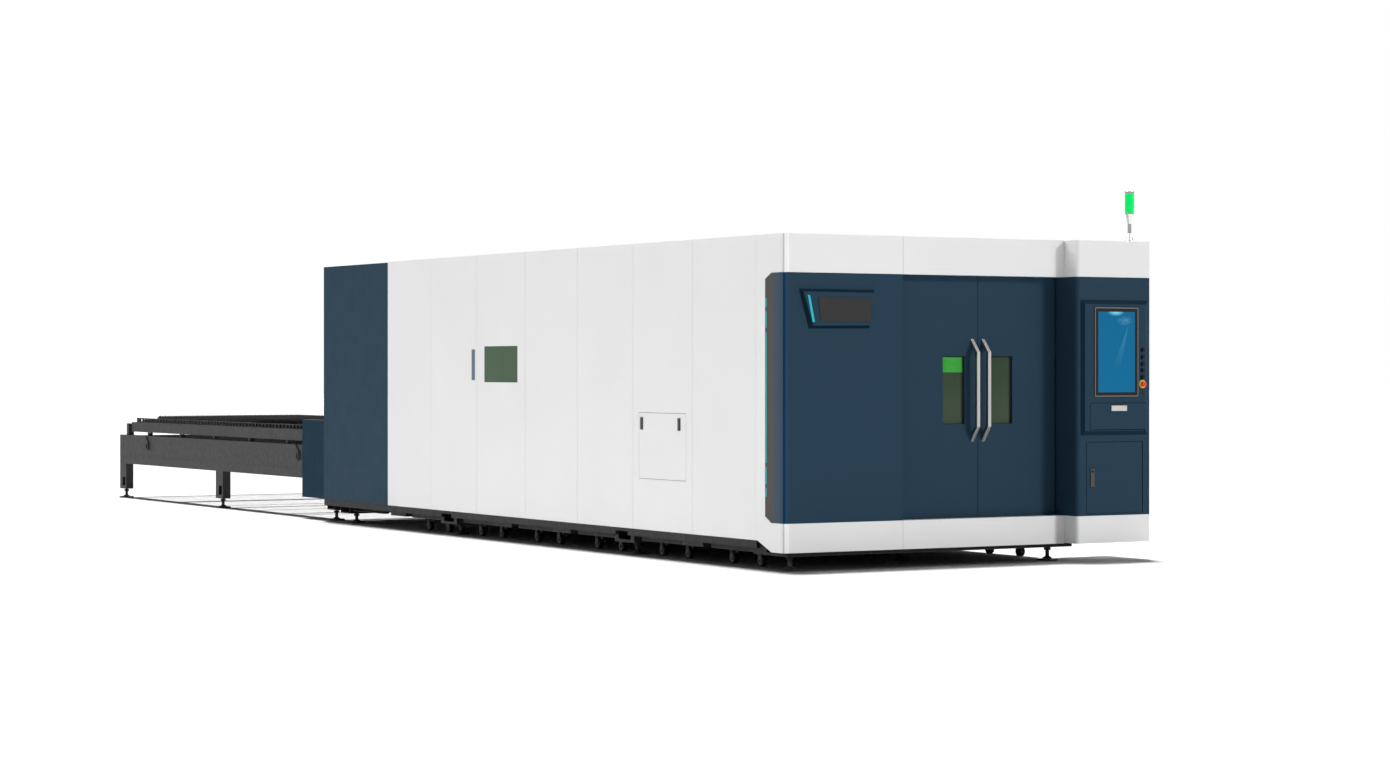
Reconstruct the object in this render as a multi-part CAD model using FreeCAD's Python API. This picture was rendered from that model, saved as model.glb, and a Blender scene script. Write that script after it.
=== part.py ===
import FreeCAD, Part
import math
import os

# Enclosed fibre laser cutting machine with a two-level exchange table.  Millimetres, +Z up.
# It is drawn from the front left corner of the enclosure: X runs along the front to the right,
# Y runs from the front doors to the exchange table, and Z is the height over the floor.
# At the end every piece is moved so that the origin is the middle of the footprint.

V = FreeCAD.Vector

# ---- driving dimensions: enclosure -------------------------------------------------------
BODY_W = 2457.0            # enclosure, outside width
BODY_TOP = 2290.0          # top edge of the white covers
FRONT_RETURN = 363.0       # front plane to the first panel seam
PANEL_PITCH = 869.0        # width of one side panel with its seam
PANELS = 7                 # side panels on each side
REAR_BOX_L = 1387.0        # length of the rear box
REAR_DROP = 5.0            # top of the rear box under the top edge
PASSAGE_Z = (420.0, 950.0) # pallet passage through the end wall
PANEL_BASE = 199.0         # lower edge of the side panels
FRONT_BASE = 127.0         # lower edge of the front covers
PANEL_DEPTH = 40.0         # depth of a folded side panel
SEAM = 2.0                 # gap between neighbouring panels
SHEET = 3.0                # folded sheet thickness
EDGE_R = 2.0               # fold radius on the outside of the panels
WINDOW_RETURN = 20.0       # folded return round the side window
CORNER_R = 45.0            # rounded front left corner
BAND_Z0 = 326.0            # lower edge of the coloured band
BAND_Z1 = 2028.0           # upper edge of the coloured band
ROOF_DEPTH = 26.0          # depth of a folded roof panel
ROOF_DROP = 2.0            # roof panels lie this far under the top edge

# ---- driving dimensions: bed and base ----------------------------------------------------
BED_X0 = 45.0              # outer face of the bed side beam
BED_W = 105.0              # width of the bed side beam
BED_TOP = 960.0            # top of the bed side beam
BED_FOOT = 190.0           # underside of the bed side beam
BED_WALL = 12.0
CROSS_FIRST = 1130.0       # front edge of the first cross member
CROSS_PITCH = 1003.0
CROSS_W = 300.0
CROSS_N = 6
CROSS_Z0 = 90.0            # underside of the cross members with fork pockets
PLAIN_Z0 = 113.0           # underside of the plain ones
FORK_MARGIN = 57.0         # fork pocket from the sides of its cross member
FORK_Z = (20.0, 15.0)      # and from its underside and its top
CROSS_X0 = 30.0            # end of a cross member
CROSS_WALL = 8.0
RAIL_FOOT = 146.0          # underside of the dark base rail
RAIL_T = 24.0              # thickness of the base rail
FRONT_BEAM_Z0 = 100.0      # underside of the front beam
FRONT_BEAM_Y0 = 45.0
FRONT_BEAM_Y1 = 480.0
FRONT_BEAM_IN = 50.0       # end of the front beam from the outside of the enclosure
REAR_TUBES = ((513.0, 313.0, 90.0), (163.0, 13.0, 110.0))   # far edge, near edge and underside
RAIL_WALL = 4.0
RAIL_START = 363.0         # front end of the left base rail
CHANNEL_Y = (147.0, 787.0)     # short side channels, from the start of the rear box
CHANNEL_W = 50.0
CHANNEL_Z0 = 117.0
CHANNEL_WALL = 5.0
POST = 60.0                # square enclosure tube
POST_WALL = 4.0
SIDE_CLEAR = 4.0           # frame to the cabinet side

# ---- driving dimensions: front doors -----------------------------------------------------
DOOR_X0 = 968.0            # left jamb of the door opening
DOOR_X1 = 2354.0           # right jamb, which is the cabinet side
DOOR_Y = 85.0              # outer face of the leaves
DOOR_T = 50.0              # leaf thickness
DOOR_GAP = 4.0             # running gap round a leaf
JAMB_DEPTH = 150.0         # depth of the covers round the opening
WINDOW_NEAR = 113.0        # window edge from the centre seam
WINDOW_W = 187.0
WINDOW_Z0 = 985.0
WINDOW_Z1 = 1463.0
WINDOW_BORDER = 30.0       # solid border kept round a window
GLASS_T = 6.0
GLASS_DEPTH = 22.0         # glass lies this far behind the leaf face
PIN_R = 8.0                # door pivot pin
PIN_CLEAR = 0.05           # radial clearance of every pivot pin
PIN_GAP = 1.0              # axial gap beyond the end of a pin
PIN_IN = 30.0              # how far a door pin reaches into its leaf
COVER_GAP = 1.0            # header and sill to the cabinet
LEAF_RIM = 40.0            # full-depth rim at the top and bottom of a leaf
HANDLE_W = 28.0            # square tube
HANDLE_EDGE_R = 4.0
HANDLE_OFF = 47.5          # handle centre from the centre seam
HANDLE_STAND = 65.0        # handle centre from the leaf face
HANDLE_Z = (860.0, 970.0, 1489.0, 1584.0)

# ---- driving dimensions: control cabinet -------------------------------------------------
CAB_X1 = 3011.0
CAB_Y0 = -150.0            # cabinet front
CAB_Z0 = 131.0
CAB_DROP = 3.0             # cabinet roof under the top edge of the covers
CAB_R = 30.0
CAB_WALL = 3.0
CAB_SEAM = 0.8             # joint between the cabinet's shells
FASCIA_X = (2385.0, 2990.0)
FASCIA_Z = (900.0, 1865.0)
FASCIA_T = 15.0
FASCIA_BEVEL = 30.0
FASCIA_R = 20.0            # rounded corners
MONITOR_X = (2497.0, 2888.0)
MONITOR_Z = (1175.0, 1812.0)
MONITOR_FRAME = 31.0       # frame width round the screen
MONITOR_T = 7.0
MONITOR_R = 12.0           # rounded corners
MONITOR_EDGE_R = 2.0
MONITOR_BACK = 60.0        # depth of the monitor behind the fascia
SCREEN_T = 3.0
SCREEN_SET = 1.0           # screen behind the frame's face
BUTTON_X = 2929.0
BUTTON_Z = (1509.0, 1458.0, 1408.0, 1363.0, 1315.0)
BUTTON_R = 12.0
BUTTON_STEM_R = 8.0
BUTTON_TRAVEL = 4.0
BUTTON_CAP = 8.0
BUTTON_ROUND = 1.5
PRESS_STOP = 1.0           # gap that is left under a cap that is pressed home
STEM_CLEAR = 0.1
ESTOP_Z = 1264.0
ESTOP_RING_R = 30.0
ESTOP_HEAD_R = 19.0
ESTOP_STEM_R = 10.0
ESTOP_RING_T = 5.0
ESTOP_TRAVEL = 5.0
ESTOP_HEAD = 18.0
ESTOP_ROUND = 6.0
FLAP_X = (2461.0, 2966.0)
FLAP_Z = (939.0, 1128.0)
FLAP_T = 16.0
FLAP_PROUD = 2.0
PULL_X = (2644.0, 2784.0)
PULL_Z = (1072.0, 1111.0)
PULL_T = 8.0
PULL_WALL = 4.0
PULL_LIP = 8.0
CAB_DOOR_X = (2439.0, 2943.0)
CAB_DOOR_Z = (345.0, 850.0)
CAB_DOOR_T = 20.0
CAB_DOOR_PROUD = 2.0
CAB_DOOR_RIM = 15.0
LATCH_X = (2470.0, 2505.0)
LATCH_Z = (532.0, 661.0)
LATCH_T = 8.0
LATCH_R = 3.0              # rounded edges of the latches
LATCH_PIN = 18.0           # turning point under the upper end of the cabinet latch
LATCH_PIN_R = 5.0
LATCH_PIN_L = 14.0
LATCH_BOSS_R = 14.0
LATCH_LIFT = 0.3           # running gap behind the cabinet latch
SMALL_GAP = 3.0            # gap round flap, cabinet door and hatch
SMALL_PIN_R = 3.0
SMALL_PIN_IN = 12.0        # how far a small pin reaches into its leaf
LUG = 16.0                 # lug that carries a pin of the cabinet door

# ---- driving dimensions: side hatch, window and trim -------------------------------------
HATCH_Y = (1322.0, 2004.0)
HATCH_Z = (574.0, 1052.0)
HATCH_T = 30.0
HATCH_AXIS_IN = 5.0        # hatch pivot axis from its outer face and lower edge
HATCH_PIN_IN = 15.0
SERVICE_RIM = 25.0         # rim of the service window in the bed beam behind the hatch
LATCH_BAR_W = 30.0
LATCH_BAR_Z = (930.0, 1020.0)
LATCH_BAR_T = 10.0
LATCH_BAR_Y = (1415.0, 1963.0)
SIDE_WINDOW_Y = (3978.0, 4567.0)
SIDE_WINDOW_Z = (1265.0, 1553.0)
ACCENT_Y = (4740.0, 4800.0)
ACCENT_Z = (1280.0, 1530.0)
ACCENT_T = 2.0
WINDOW_SET = 1.0           # side window and corner strip behind the side plane
BAND_GAP = 0.5             # joint between the band and the white covers
TRIM_BRACKET = (30.0, 60.0)    # bracket behind the corner strip, width and height
STRIP_Y = (77.0, 167.0)    # light strip on the corner
BAND_Y1 = 245.0            # rear edge of the dark band
BAND_SLOPE = 42.0          # height of the chamfered band ends
LED_Y = (225.0, 240.0)
LED_Z = ((502.0, 561.0), (590.0, 705.0), (733.0, 1623.0), (1654.0, 1766.0), (1796.0, 1855.0))
LED_T = 2.0
TRIM_RECESS = 3.0          # dark band lies this far behind the side plane
SLOPE_Y = (161.0, 343.0)   # where the lower edge of the corner cover rises
BADGE_OUT = ((119.0, 1917.0), (728.0, 1915.0), (691.0, 1651.0), (196.0, 1647.0))
BADGE_PLATE = ((256.0, 1862.0), (691.0, 1856.0), (674.0, 1698.0), (276.0, 1699.0))
BADGE_LED = ((172.0, 1874.0), (190.0, 1874.0), (229.0, 1692.0), (211.0, 1692.0))
BADGE_T = 28.0
BADGE_BEVEL = 20.0
BADGE_PLATE_T = 4.0

# ---- driving dimensions: signal lamp -----------------------------------------------------
LAMP_X = 2920.0
LAMP_Y = -30.0
LAMP_POLE_R = 13.5
LAMP_LENS_R = 33.0
LAMP_BASE_R = 30.0
LAMP_SEAT_R = 31.0
LAMP_ROUND = 8.0           # rounded top of the cap
LAMP_UP = (63.0, 133.0, 203.0, 212.0, 352.0, 374.0)    # heights over the cabinet roof

# ---- driving dimensions: exchange table --------------------------------------------------
TABLE_X0 = 130.0           # outer face of the table
TABLE_Y0 = 7840.0          # table starts just behind the rear wall
LEG_PITCH = 2795.0
LEG_W = 190.0
LEG_T = 80.0
LEGS = 3
LEG_FOOT = 95.0
DECK = 668.0               # top of the table side beams, where the upper rollers run
BEAM_Z0 = 363.0
CREASE_Z = 452.0
CREASE = 3.0
TABLE_WALL = 8.0
TIE_W = 100.0
TIE_Z1 = 430.0
END_TIE_Z1 = 660.0         # top of the tall beam between the outer legs
TIE_WALL = 5.0
POCKET_Y = (30.0, 110.0)   # pocket low in a leg, from its front edge
POCKET_Z = (35.0, 125.0)   # and from its lower end
STOP_W = 60.0
STOP_H = 122.0
STOP_IN = 10.0             # stop from the table's outer face
STOP_BACK = 40.0           # stop behind the pallet
PALLET_L = 5280.0
PALLET_Y0 = 8060.0         # front edge of the upper pallet, out on the table
PALLET_IN_Y0 = 900.0       # front edge of the lower pallet, in the machine
PALLET_X0 = 160.0          # outer face of the upper pallet beam
LOWER_IN = 80.0            # the lower pallet is this much narrower on each side
LOWER_DROP = 217.0         # height between the two levels
PALLET_BEAM_W = 60.0
PALLET_BEAM_H = 101.0
PALLET_WALL = 5.0
PALLET_END = 60.0          # ledge, comb and rails end this far from the frame's end
PALLET_TIE_END = 50.0      # width of the end ties
PALLET_TIES = 4            # flat ties between the end ties
PALLET_TIE_W = 60.0
PALLET_TIE_WALL = 4.0
ROLLER_R = 17.0
ROLLER_W = 30.0
ROLLER_PITCH = 940.0
ROLLER_N = 6
ROLLER_FIRST = 80.0
ROLLER_GAP = 0.5           # roller to rail
ROLLER_CLEAR = 2.0         # roller to the beam over it
ROLLER_LUG = (8.0, 24.0, 10.0)     # lug thickness, width and depth under the axle
ROLLER_AXLE_R = 6.0
SLAT_PITCH = 85.0
SLAT_T = 3.0
SLAT_FIRST = 110.0
SLAT_H = 100.0             # height of a slat at its plain ends
TOOTH_H = 27.0
TOOTH_RISE = 15.0
TOOTH_PITCH = 60.0
TOOTH_MARGIN = 167.0       # plain end of a slat
COMB_T = 10.0
COMB_H = 45.0
COMB_IN = 14.0             # comb from the beam's inner face
COMB_POST = 18.0           # half the width of a post between two notches
COMB_RIM = 10.0
LEDGE_W = 30.0
LEDGE_T = 10.0
LEDGE_UP = 20.0            # ledge over the underside of the beam
SLAT_CLEAR = 2.0           # slat end to beam
RAIL_H = 20.0              # pallet rails
UPPER_RAIL_W = 55.0
LINK_AT = (870.0, 4900.0)  # lift links along the table
LINK_T = 12.0
LINK_OUT = 22.0            # outer face of a link from the table side
SKIRT_L = 640.0
SKIRT_GAP = 0.5            # skirt to rear wall
SKIRT_X0 = 60.0
SKIRT_Z = (196.0, 905.0)

# ---- driving dimensions: gantry and cutting head -----------------------------------------
GUIDE_W = 30.0
GUIDE_H = 25.0
GUIDE_X0 = 112.0
GUIDE_END = 60.0           # guide from the ends of the bed
GANTRY_Y = 900.0           # gantry centre at rest
GANTRY_BEAM_W = 220.0
GANTRY_BEAM_Z = (1100.0, 1320.0)
GANTRY_WALL = 10.0
BEAM_GUIDE = (20.0, 30.0)  # depth and height of the guides on the beam
BEAM_GUIDE_IN = 20.0       # guides from the beam's upper and lower face
TRUCK_L = 400.0
TRUCK_W = 92.0
TRUCK_GAP = 3.0            # truck to enclosure post
RUN_GAP = 0.5
CARRIAGE_X = 360.0
CARRIAGE_W = 260.0
CARRIAGE_T = 40.0
CARRIAGE_Z = (1070.0, 1420.0)
HEAD_GUIDE_W = 60.0
HEAD_GUIDE_T = 20.0
MOTOR_W = 90.0
MOTOR_H = 140.0
HEAD_W = 110.0
HEAD_Z = (1130.0, 1400.0)
HEAD_NECK_R = 30.0
NOZZLE_Z = 1000.0
NOZZLE_R = 6.0
NOZZLE_H = 60.0

# ---- driving dimensions: slag carts and feet ---------------------------------------------
CART_Z = (110.0, 142.0)    # underside and top of the tray
CART_X0 = 60.0             # end of the tray from the left side
CART_X1_IN = 20.0          # and from the right side
CART_HALF = 290.0          # half width of the tray
CART_WALL = 3.0
WHEEL_R = 37.5
WHEEL_W = 38.0
WHEEL_ROUND = 5.0
WHEEL_X0 = 130.0           # outer wheels from the left end of the tray
WHEEL_X1_IN = 37.0         # and from the right end
WHEEL_HALF = 190.0         # wheel centre from the cart centre
WHEEL_LIFT = 1.0
WHEEL_SIDE = 1.0           # wheel to fork
FORK_T = 4.0
FORK_W = 40.0
FORK_DROP = 12.0           # fork under the axle
SWIVEL = (90.0, 100.0, 6.0)    # caster plate, along X, Y and Z
AXLE_R = 6.0
AXLE_NUT = (9.0, 8.0)      # radius and length of the nut outside the fork
PAD_R = 75.0
PAD_T = 14.0
NECK_R = 42.0
NECK_H = 18.0
STUD_R = 14.0
NUT_R = 27.0
NUT_H = 18.0
NUT_GAP = 8.0              # nut under the frame
FOOT_X = 140.0
FRONT_FOOT_Y = 150.0

# ---- values worked out from the driving dimensions ---------------------------------------
REAR_Y0 = FRONT_RETURN + PANELS * PANEL_PITCH
REAR_TOP = BODY_TOP - REAR_DROP
CAB_TOP = BODY_TOP - CAB_DROP
BODY_Y1 = REAR_Y0 + REAR_BOX_L
MID_X = BODY_W / 2
ROOF_Z1 = BODY_TOP - ROOF_DROP
ROOF_Z0 = ROOF_Z1 - ROOF_DEPTH
FRAME_TOP = ROOF_Z0
RAIL_Z0 = FRAME_TOP - POST
DOOR_MID = (DOOR_X0 + DOOR_X1) / 2
TABLE_Y1 = TABLE_Y0 + (LEGS - 1) * LEG_PITCH + LEG_W
CHAMBER_Y1 = BODY_Y1 - PANEL_DEPTH
BED_Y0 = FRONT_RETURN + SEAM
BED_INNER = BED_X0 + BED_W
LEVEL = 2 * ROLLER_R + ROLLER_GAP + ROLLER_CLEAR   # underside of a pallet beam over its rail
CAB_Y1 = FRONT_RETURN - SEAM
FACE_Y = CAB_Y0 - FASCIA_T
FRAME_X1 = DOOR_X1 - SIDE_CLEAR


def box(x0, x1, y0, y1, z0, z1):
    return Part.makeBox(x1 - x0, y1 - y0, z1 - z0, V(x0, y0, z0))


def rod(start, axis, radius, length):
    return Part.makeCylinder(radius, length, V(*start), V(*axis))


def shrink(limits, wall, axes):
    """Move both ends of the named axes inwards by the wall."""
    inner = list(limits)
    for axis in axes:
        inner[2 * axis] += wall
        inner[2 * axis + 1] -= wall
    return inner


def tube(limits, along, wall):
    """Rectangular tube with open ends along one axis (0, 1 or 2)."""
    inner = shrink(limits, wall, [a for a in (0, 1, 2) if a != along])
    return box(*limits).cut(box(*inner))


def tray(limits, open_end, wall):
    """Folded box that is open at one end: an index into x0, x1, y0, y1, z0, z1."""
    inner = shrink(limits, wall, (0, 1, 2))
    inner[open_end] = limits[open_end]
    return box(*limits).cut(box(*inner))


def edges_on(shape, axis, value, tol=0.01):
    """Edges that lie wholly in the plane where the coordinate of one axis has the value."""
    found = []
    for edge in shape.Edges:
        box_ = edge.BoundBox
        low = (box_.XMin, box_.YMin, box_.ZMin)[axis]
        high = (box_.XMax, box_.YMax, box_.ZMax)[axis]
        if abs(low - value) < tol and abs(high - value) < tol:
            found.append(edge)
    return found


def upright_edge(shape, x, y, tol=0.01):
    """Vertical edges at one place in plan."""
    found = []
    for edge in shape.Edges:
        b = edge.BoundBox
        off = (b.XMin - x, b.XMax - x, b.YMin - y, b.YMax - y)
        if all(abs(value) < tol for value in off):
            found.append(edge)
    return found


def mirror(shape):
    """The same piece on the other side of the machine's long middle plane."""
    return shape.mirror(V(MID_X, 0, 0), V(1, 0, 0))


def both(shape):
    return [shape, mirror(shape)]


def plate(points, y0, y1):
    """Flat plate from an outline in X and Z, between two depths."""
    corners = [V(x, y0, z) for x, z in points]
    face = Part.Face(Part.makePolygon(corners + corners[:1]))
    return face.extrude(V(0, y1 - y0, 0))


def side_plate(points, x0, x1):
    """Flat plate from an outline in Y and Z, between two X places."""
    corners = [V(x0, y, z) for y, z in points]
    face = Part.Face(Part.makePolygon(corners + corners[:1]))
    return face.extrude(V(x1 - x0, 0, 0))


def bevelled(outer, inner, y_back, y_front):
    """Raised plate whose edges slope from the outer outline to the inner one."""
    wires = []
    for outline, y in ((outer, y_back), (inner, y_front)):
        corners = [V(x, y, z) for x, z in outline]
        wires.append(Part.makePolygon(corners + corners[:1]))
    return Part.makeLoft(wires, True, True)


def inset(outline, amount):
    """Outline moved towards its middle by the amount on each axis."""
    mid_x = sum(x for x, z in outline) / len(outline)
    mid_z = sum(z for x, z in outline) / len(outline)
    return [(x - math.copysign(amount, x - mid_x), z - math.copysign(amount, z - mid_z)) for x, z in outline]


def rectangle(x, z):
    return [(x[0], z[0]), (x[1], z[0]), (x[1], z[1]), (x[0], z[1])]


PIECES = {}


def piece(name, *solids):
    PIECES[name] = list(solids)


# ---- bed: two side beams that carry the gantry guides ------------------------------------
bed_beam = tube([BED_X0, BED_INNER, BED_Y0, CHAMBER_Y1, BED_FOOT, BED_TOP], 1, BED_WALL)
service_window = box(BED_X0 - 1, BED_X0 + BED_WALL + 1, HATCH_Y[0] + SERVICE_RIM, HATCH_Y[1] - SERVICE_RIM,
                     HATCH_Z[0] + SERVICE_RIM, BED_TOP - SERVICE_RIM)
piece("bed_side_beams", bed_beam.cut(service_window), mirror(bed_beam))

# ---- bed: cross members, boxes with fork pockets and capped channels in turn -------------
def pocket_span(limits):
    """Limits in Y and Z of the fork pocket through a cross member."""
    x0, x1, y0, y1, z0, z1 = limits
    return y0 + FORK_MARGIN, y1 - FORK_MARGIN, z0 + FORK_Z[0], z1 - FORK_Z[1]


def pocket_box(limits):
    """Closed box across the machine with a window for a fork in each end."""
    inner = box(*shrink(limits, CROSS_WALL, (0, 1, 2)))
    return box(*limits).cut([inner, box(limits[0] - 1, limits[1] + 1, *pocket_span(limits))])


cross_members = []
rail_notches = []
for i in range(CROSS_N):
    y = CROSS_FIRST + i * CROSS_PITCH
    if i % 3 == 1:
        limits = [CROSS_X0, BODY_W - CROSS_X0, y, y + CROSS_W, CROSS_Z0, BED_FOOT]
        cross_members.append(pocket_box(limits))
        rail_notches.append(box(CROSS_X0 - RAIL_T - 1, CROSS_X0 + 1, *pocket_span(limits)))
    else:
        limits = [CROSS_X0, BODY_W - CROSS_X0, y, y + CROSS_W, PLAIN_Z0, BED_FOOT]
        cross_members.append(tray(limits, 4, CROSS_WALL))
for far, near, low in REAR_TUBES:
    limits = [CROSS_X0, BODY_W - CROSS_X0, BODY_Y1 - far, BODY_Y1 - near, low, BED_FOOT]
    cross_members.append(tube(limits, 0, CROSS_WALL))
front_limits = [FRONT_BEAM_IN, FRAME_X1, FRONT_BEAM_Y0, BED_Y0, FRONT_BEAM_Z0, BED_FOOT]
cross_members.append(pocket_box(front_limits))
front_limits = [FRONT_BEAM_IN, BODY_W - FRONT_BEAM_IN, BED_Y0, FRONT_BEAM_Y1, FRONT_BEAM_Z0, BED_FOOT]
cross_members.append(tray(front_limits, 1, CROSS_WALL))
cross_members.append(box(FRAME_X1, BODY_W, FRONT_BEAM_Y0, FRONT_RETURN - POST, FRONT_BEAM_Z0, CAB_Z0))
piece("bed_cross_members", *cross_members)

# ---- base rails under the side panels ----------------------------------------------------
left_rail = tube([CROSS_X0 - RAIL_T, CROSS_X0, RAIL_START, BODY_Y1, RAIL_FOOT, PANEL_BASE], 1, RAIL_WALL)
right_rail = tube([BODY_W - CROSS_X0, BODY_W - CROSS_X0 + RAIL_T, FRONT_RETURN + SEAM, BODY_Y1,
                   RAIL_FOOT, PANEL_BASE], 1, RAIL_WALL)
channel = tray([CROSS_X0, CROSS_X0 + CHANNEL_W, REAR_Y0 + CHANNEL_Y[0], REAR_Y0 + CHANNEL_Y[1],
                CHANNEL_Z0, BED_FOOT], 0, CHANNEL_WALL)
piece("base_rails", left_rail.cut(rail_notches), right_rail, *both(channel))


# ---- levelling feet ----------------------------------------------------------------------
def foot(x, y, top):
    """Round pad, sloped neck, threaded stud and hexagon nut, turned and welded as one."""
    pad = rod((x, y, 0), (0, 0, 1), PAD_R, PAD_T)
    neck = Part.makeCone(NECK_R, STUD_R, NECK_H, V(x, y, PAD_T))
    stud = rod((x, y, 0), (0, 0, 1), STUD_R, top)
    corners = [math.radians(angle) for angle in range(0, 360, 60)]
    nut_z = top - NUT_GAP - NUT_H
    ring = [V(x + NUT_R * math.cos(a), y + NUT_R * math.sin(a), nut_z) for a in corners]
    nut = Part.Face(Part.makePolygon(ring + ring[:1])).extrude(V(0, 0, NUT_H))
    return pad.fuse([neck, stud, nut]).removeSplitter()


CROSS_MID = CROSS_W / 2
machine_feet = (
    (FRONT_FOOT_Y, FRONT_BEAM_Z0),
    (CROSS_FIRST + CROSS_PITCH + CROSS_MID, CROSS_Z0),
    (CROSS_FIRST + 4 * CROSS_PITCH + CROSS_MID, CROSS_Z0),
    (BODY_Y1 - (REAR_TUBES[0][0] + REAR_TUBES[0][1]) / 2, REAR_TUBES[0][2]),
)
feet = []
for y, top in machine_feet:
    feet += [foot(FOOT_X, y, top), foot(BODY_W - FOOT_X, y, top)]
for i in range(LEGS):
    y = TABLE_Y0 + i * LEG_PITCH + LEG_W / 2
    feet += [foot(TABLE_X0 + LEG_T / 2, y, LEG_FOOT), foot(BODY_W - TABLE_X0 - LEG_T / 2, y, LEG_FOOT)]
piece("levelling_feet", *feet)

# ---- enclosure frame: posts on the bed beams, roof rails and roof cross tubes ------------
frame = []
POST_X1 = BED_X0 + POST
post_y = [BED_Y0]
post_y += [FRONT_RETURN + i * PANEL_PITCH - POST / 2 for i in range(1, PANELS)]
post_y += [REAR_Y0 - POST / 2, CHAMBER_Y1 - POST]
for y in post_y:
    frame += both(tube([BED_X0, POST_X1, y, y + POST, BED_TOP, RAIL_Z0], 2, POST_WALL))
    frame.append(tube([POST_X1, BODY_W - POST_X1, y, y + POST, RAIL_Z0, FRAME_TOP], 0, POST_WALL))
frame.append(tube([BED_X0, POST_X1, JAMB_DEPTH, CHAMBER_Y1, RAIL_Z0, FRAME_TOP], 1, POST_WALL))
frame.append(tube([BODY_W - POST_X1, BODY_W - BED_X0, BED_Y0, CHAMBER_Y1, RAIL_Z0, FRAME_TOP], 1, POST_WALL))
frame.append(tube([BED_X0, POST_X1, JAMB_DEPTH, JAMB_DEPTH + POST, BED_FOOT, RAIL_Z0], 2, POST_WALL))
jamb_y = (JAMB_DEPTH, JAMB_DEPTH + POST)
frame.append(tube([FRAME_X1 - POST, FRAME_X1, *jamb_y, BED_FOOT, FRAME_TOP], 2, POST_WALL))
frame.append(tube([POST_X1, FRAME_X1 - POST, *jamb_y, RAIL_Z0, FRAME_TOP], 0, POST_WALL))
piece("enclosure_frame", *frame)


# ---- side panels: folded trays, one with the window, one with the hatch -------------------
def side_panel(y0, y1, z0, z1):
    shape = tray([0, PANEL_DEPTH, y0, y1, z0, z1], 1, SHEET)
    return shape.makeFillet(EDGE_R, edges_on(shape, 0, 0.0))


def panel_span(i):
    y = FRONT_RETURN + i * PANEL_PITCH
    return y + SEAM / 2, y + PANEL_PITCH - SEAM / 2


def framed_hole(panel, y, z, depth):
    """Cut a hole with a folded return of the given depth round it."""
    rim = box(0, depth, y[0] - SHEET, y[1] + SHEET, z[0] - SHEET, z[1] + SHEET)
    hole = box(-1, depth + 1, y[0], y[1], z[0], z[1])
    return panel.fuse(rim).cut(hole).removeSplitter()


def hatch_pin(y, way):
    """Stub pin that the side hatch turns on."""
    place = (HATCH_AXIS_IN, y, HATCH_Z[0] + HATCH_AXIS_IN)
    return rod(place, (0, way, 0), SMALL_PIN_R, SMALL_GAP + HATCH_PIN_IN)


hatch_hole_y = (HATCH_Y[0] - SMALL_GAP, HATCH_Y[1] + SMALL_GAP)
hatch_hole_z = (HATCH_Z[0] - SMALL_GAP, HATCH_Z[1] + SMALL_GAP)
left_panels = []
for i in range(PANELS):
    y0, y1 = panel_span(i)
    panel = side_panel(y0, y1, PANEL_BASE, BODY_TOP)
    if y0 < HATCH_Y[0] < y1:
        panel = framed_hole(panel, hatch_hole_y, hatch_hole_z, PANEL_DEPTH)
        panel = panel.fuse([hatch_pin(hatch_hole_y[0], 1), hatch_pin(hatch_hole_y[1], -1)])
    if y0 < SIDE_WINDOW_Y[0] < y1:
        panel = framed_hole(panel, SIDE_WINDOW_Y, SIDE_WINDOW_Z, WINDOW_RETURN)
    left_panels.append(panel)
piece("left_side_panels", *left_panels)
piece("right_side_panels", *[mirror(side_panel(*panel_span(i), PANEL_BASE, BODY_TOP)) for i in range(PANELS)])
piece("side_window", box(WINDOW_SET, WINDOW_SET + GLASS_T, *SIDE_WINDOW_Y, *SIDE_WINDOW_Z))

# ---- side hatch with its two latch bars --------------------------------------------------
hatch = tray([0, HATCH_T, *HATCH_Y, *HATCH_Z], 1, SHEET)
boss_place = (HATCH_AXIS_IN, HATCH_Y[0], HATCH_Z[0] + HATCH_AXIS_IN)
hatch = hatch.fuse(box(0, 2 * HATCH_AXIS_IN, *HATCH_Y, HATCH_Z[0], HATCH_Z[0] + 2 * HATCH_AXIS_IN))
hatch = hatch.cut(rod(boss_place, (0, 1, 0), SMALL_PIN_R + PIN_CLEAR, HATCH_Y[1] - HATCH_Y[0]))
piece("hatch", hatch.removeSplitter())
latch_bars = []
for y in LATCH_BAR_Y:
    bar = box(-LATCH_BAR_T, 0, y - LATCH_BAR_W / 2, y + LATCH_BAR_W / 2, *LATCH_BAR_Z)
    latch_bars.append(bar.makeFillet(LATCH_R, edges_on(bar, 0, -LATCH_BAR_T)))
piece("hatch_latches", *latch_bars)


# ---- front corner cover: header, sill and side strip folded round the corner --------------
def corner_shell(x1, y1, z0, z1):
    """L-shaped folded shell round the front left corner."""
    outer = box(0, x1, 0, y1, z0, z1)
    outer = outer.makeFillet(CORNER_R, upright_edge(outer, 0.0, 0.0))
    inner = box(SHEET, x1 + 1, SHEET, y1 + 1, z0 - 1, z1 + 1)
    inner = inner.makeFillet(CORNER_R - SHEET, upright_edge(inner, SHEET, SHEET))
    return outer.cut(inner)


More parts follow.
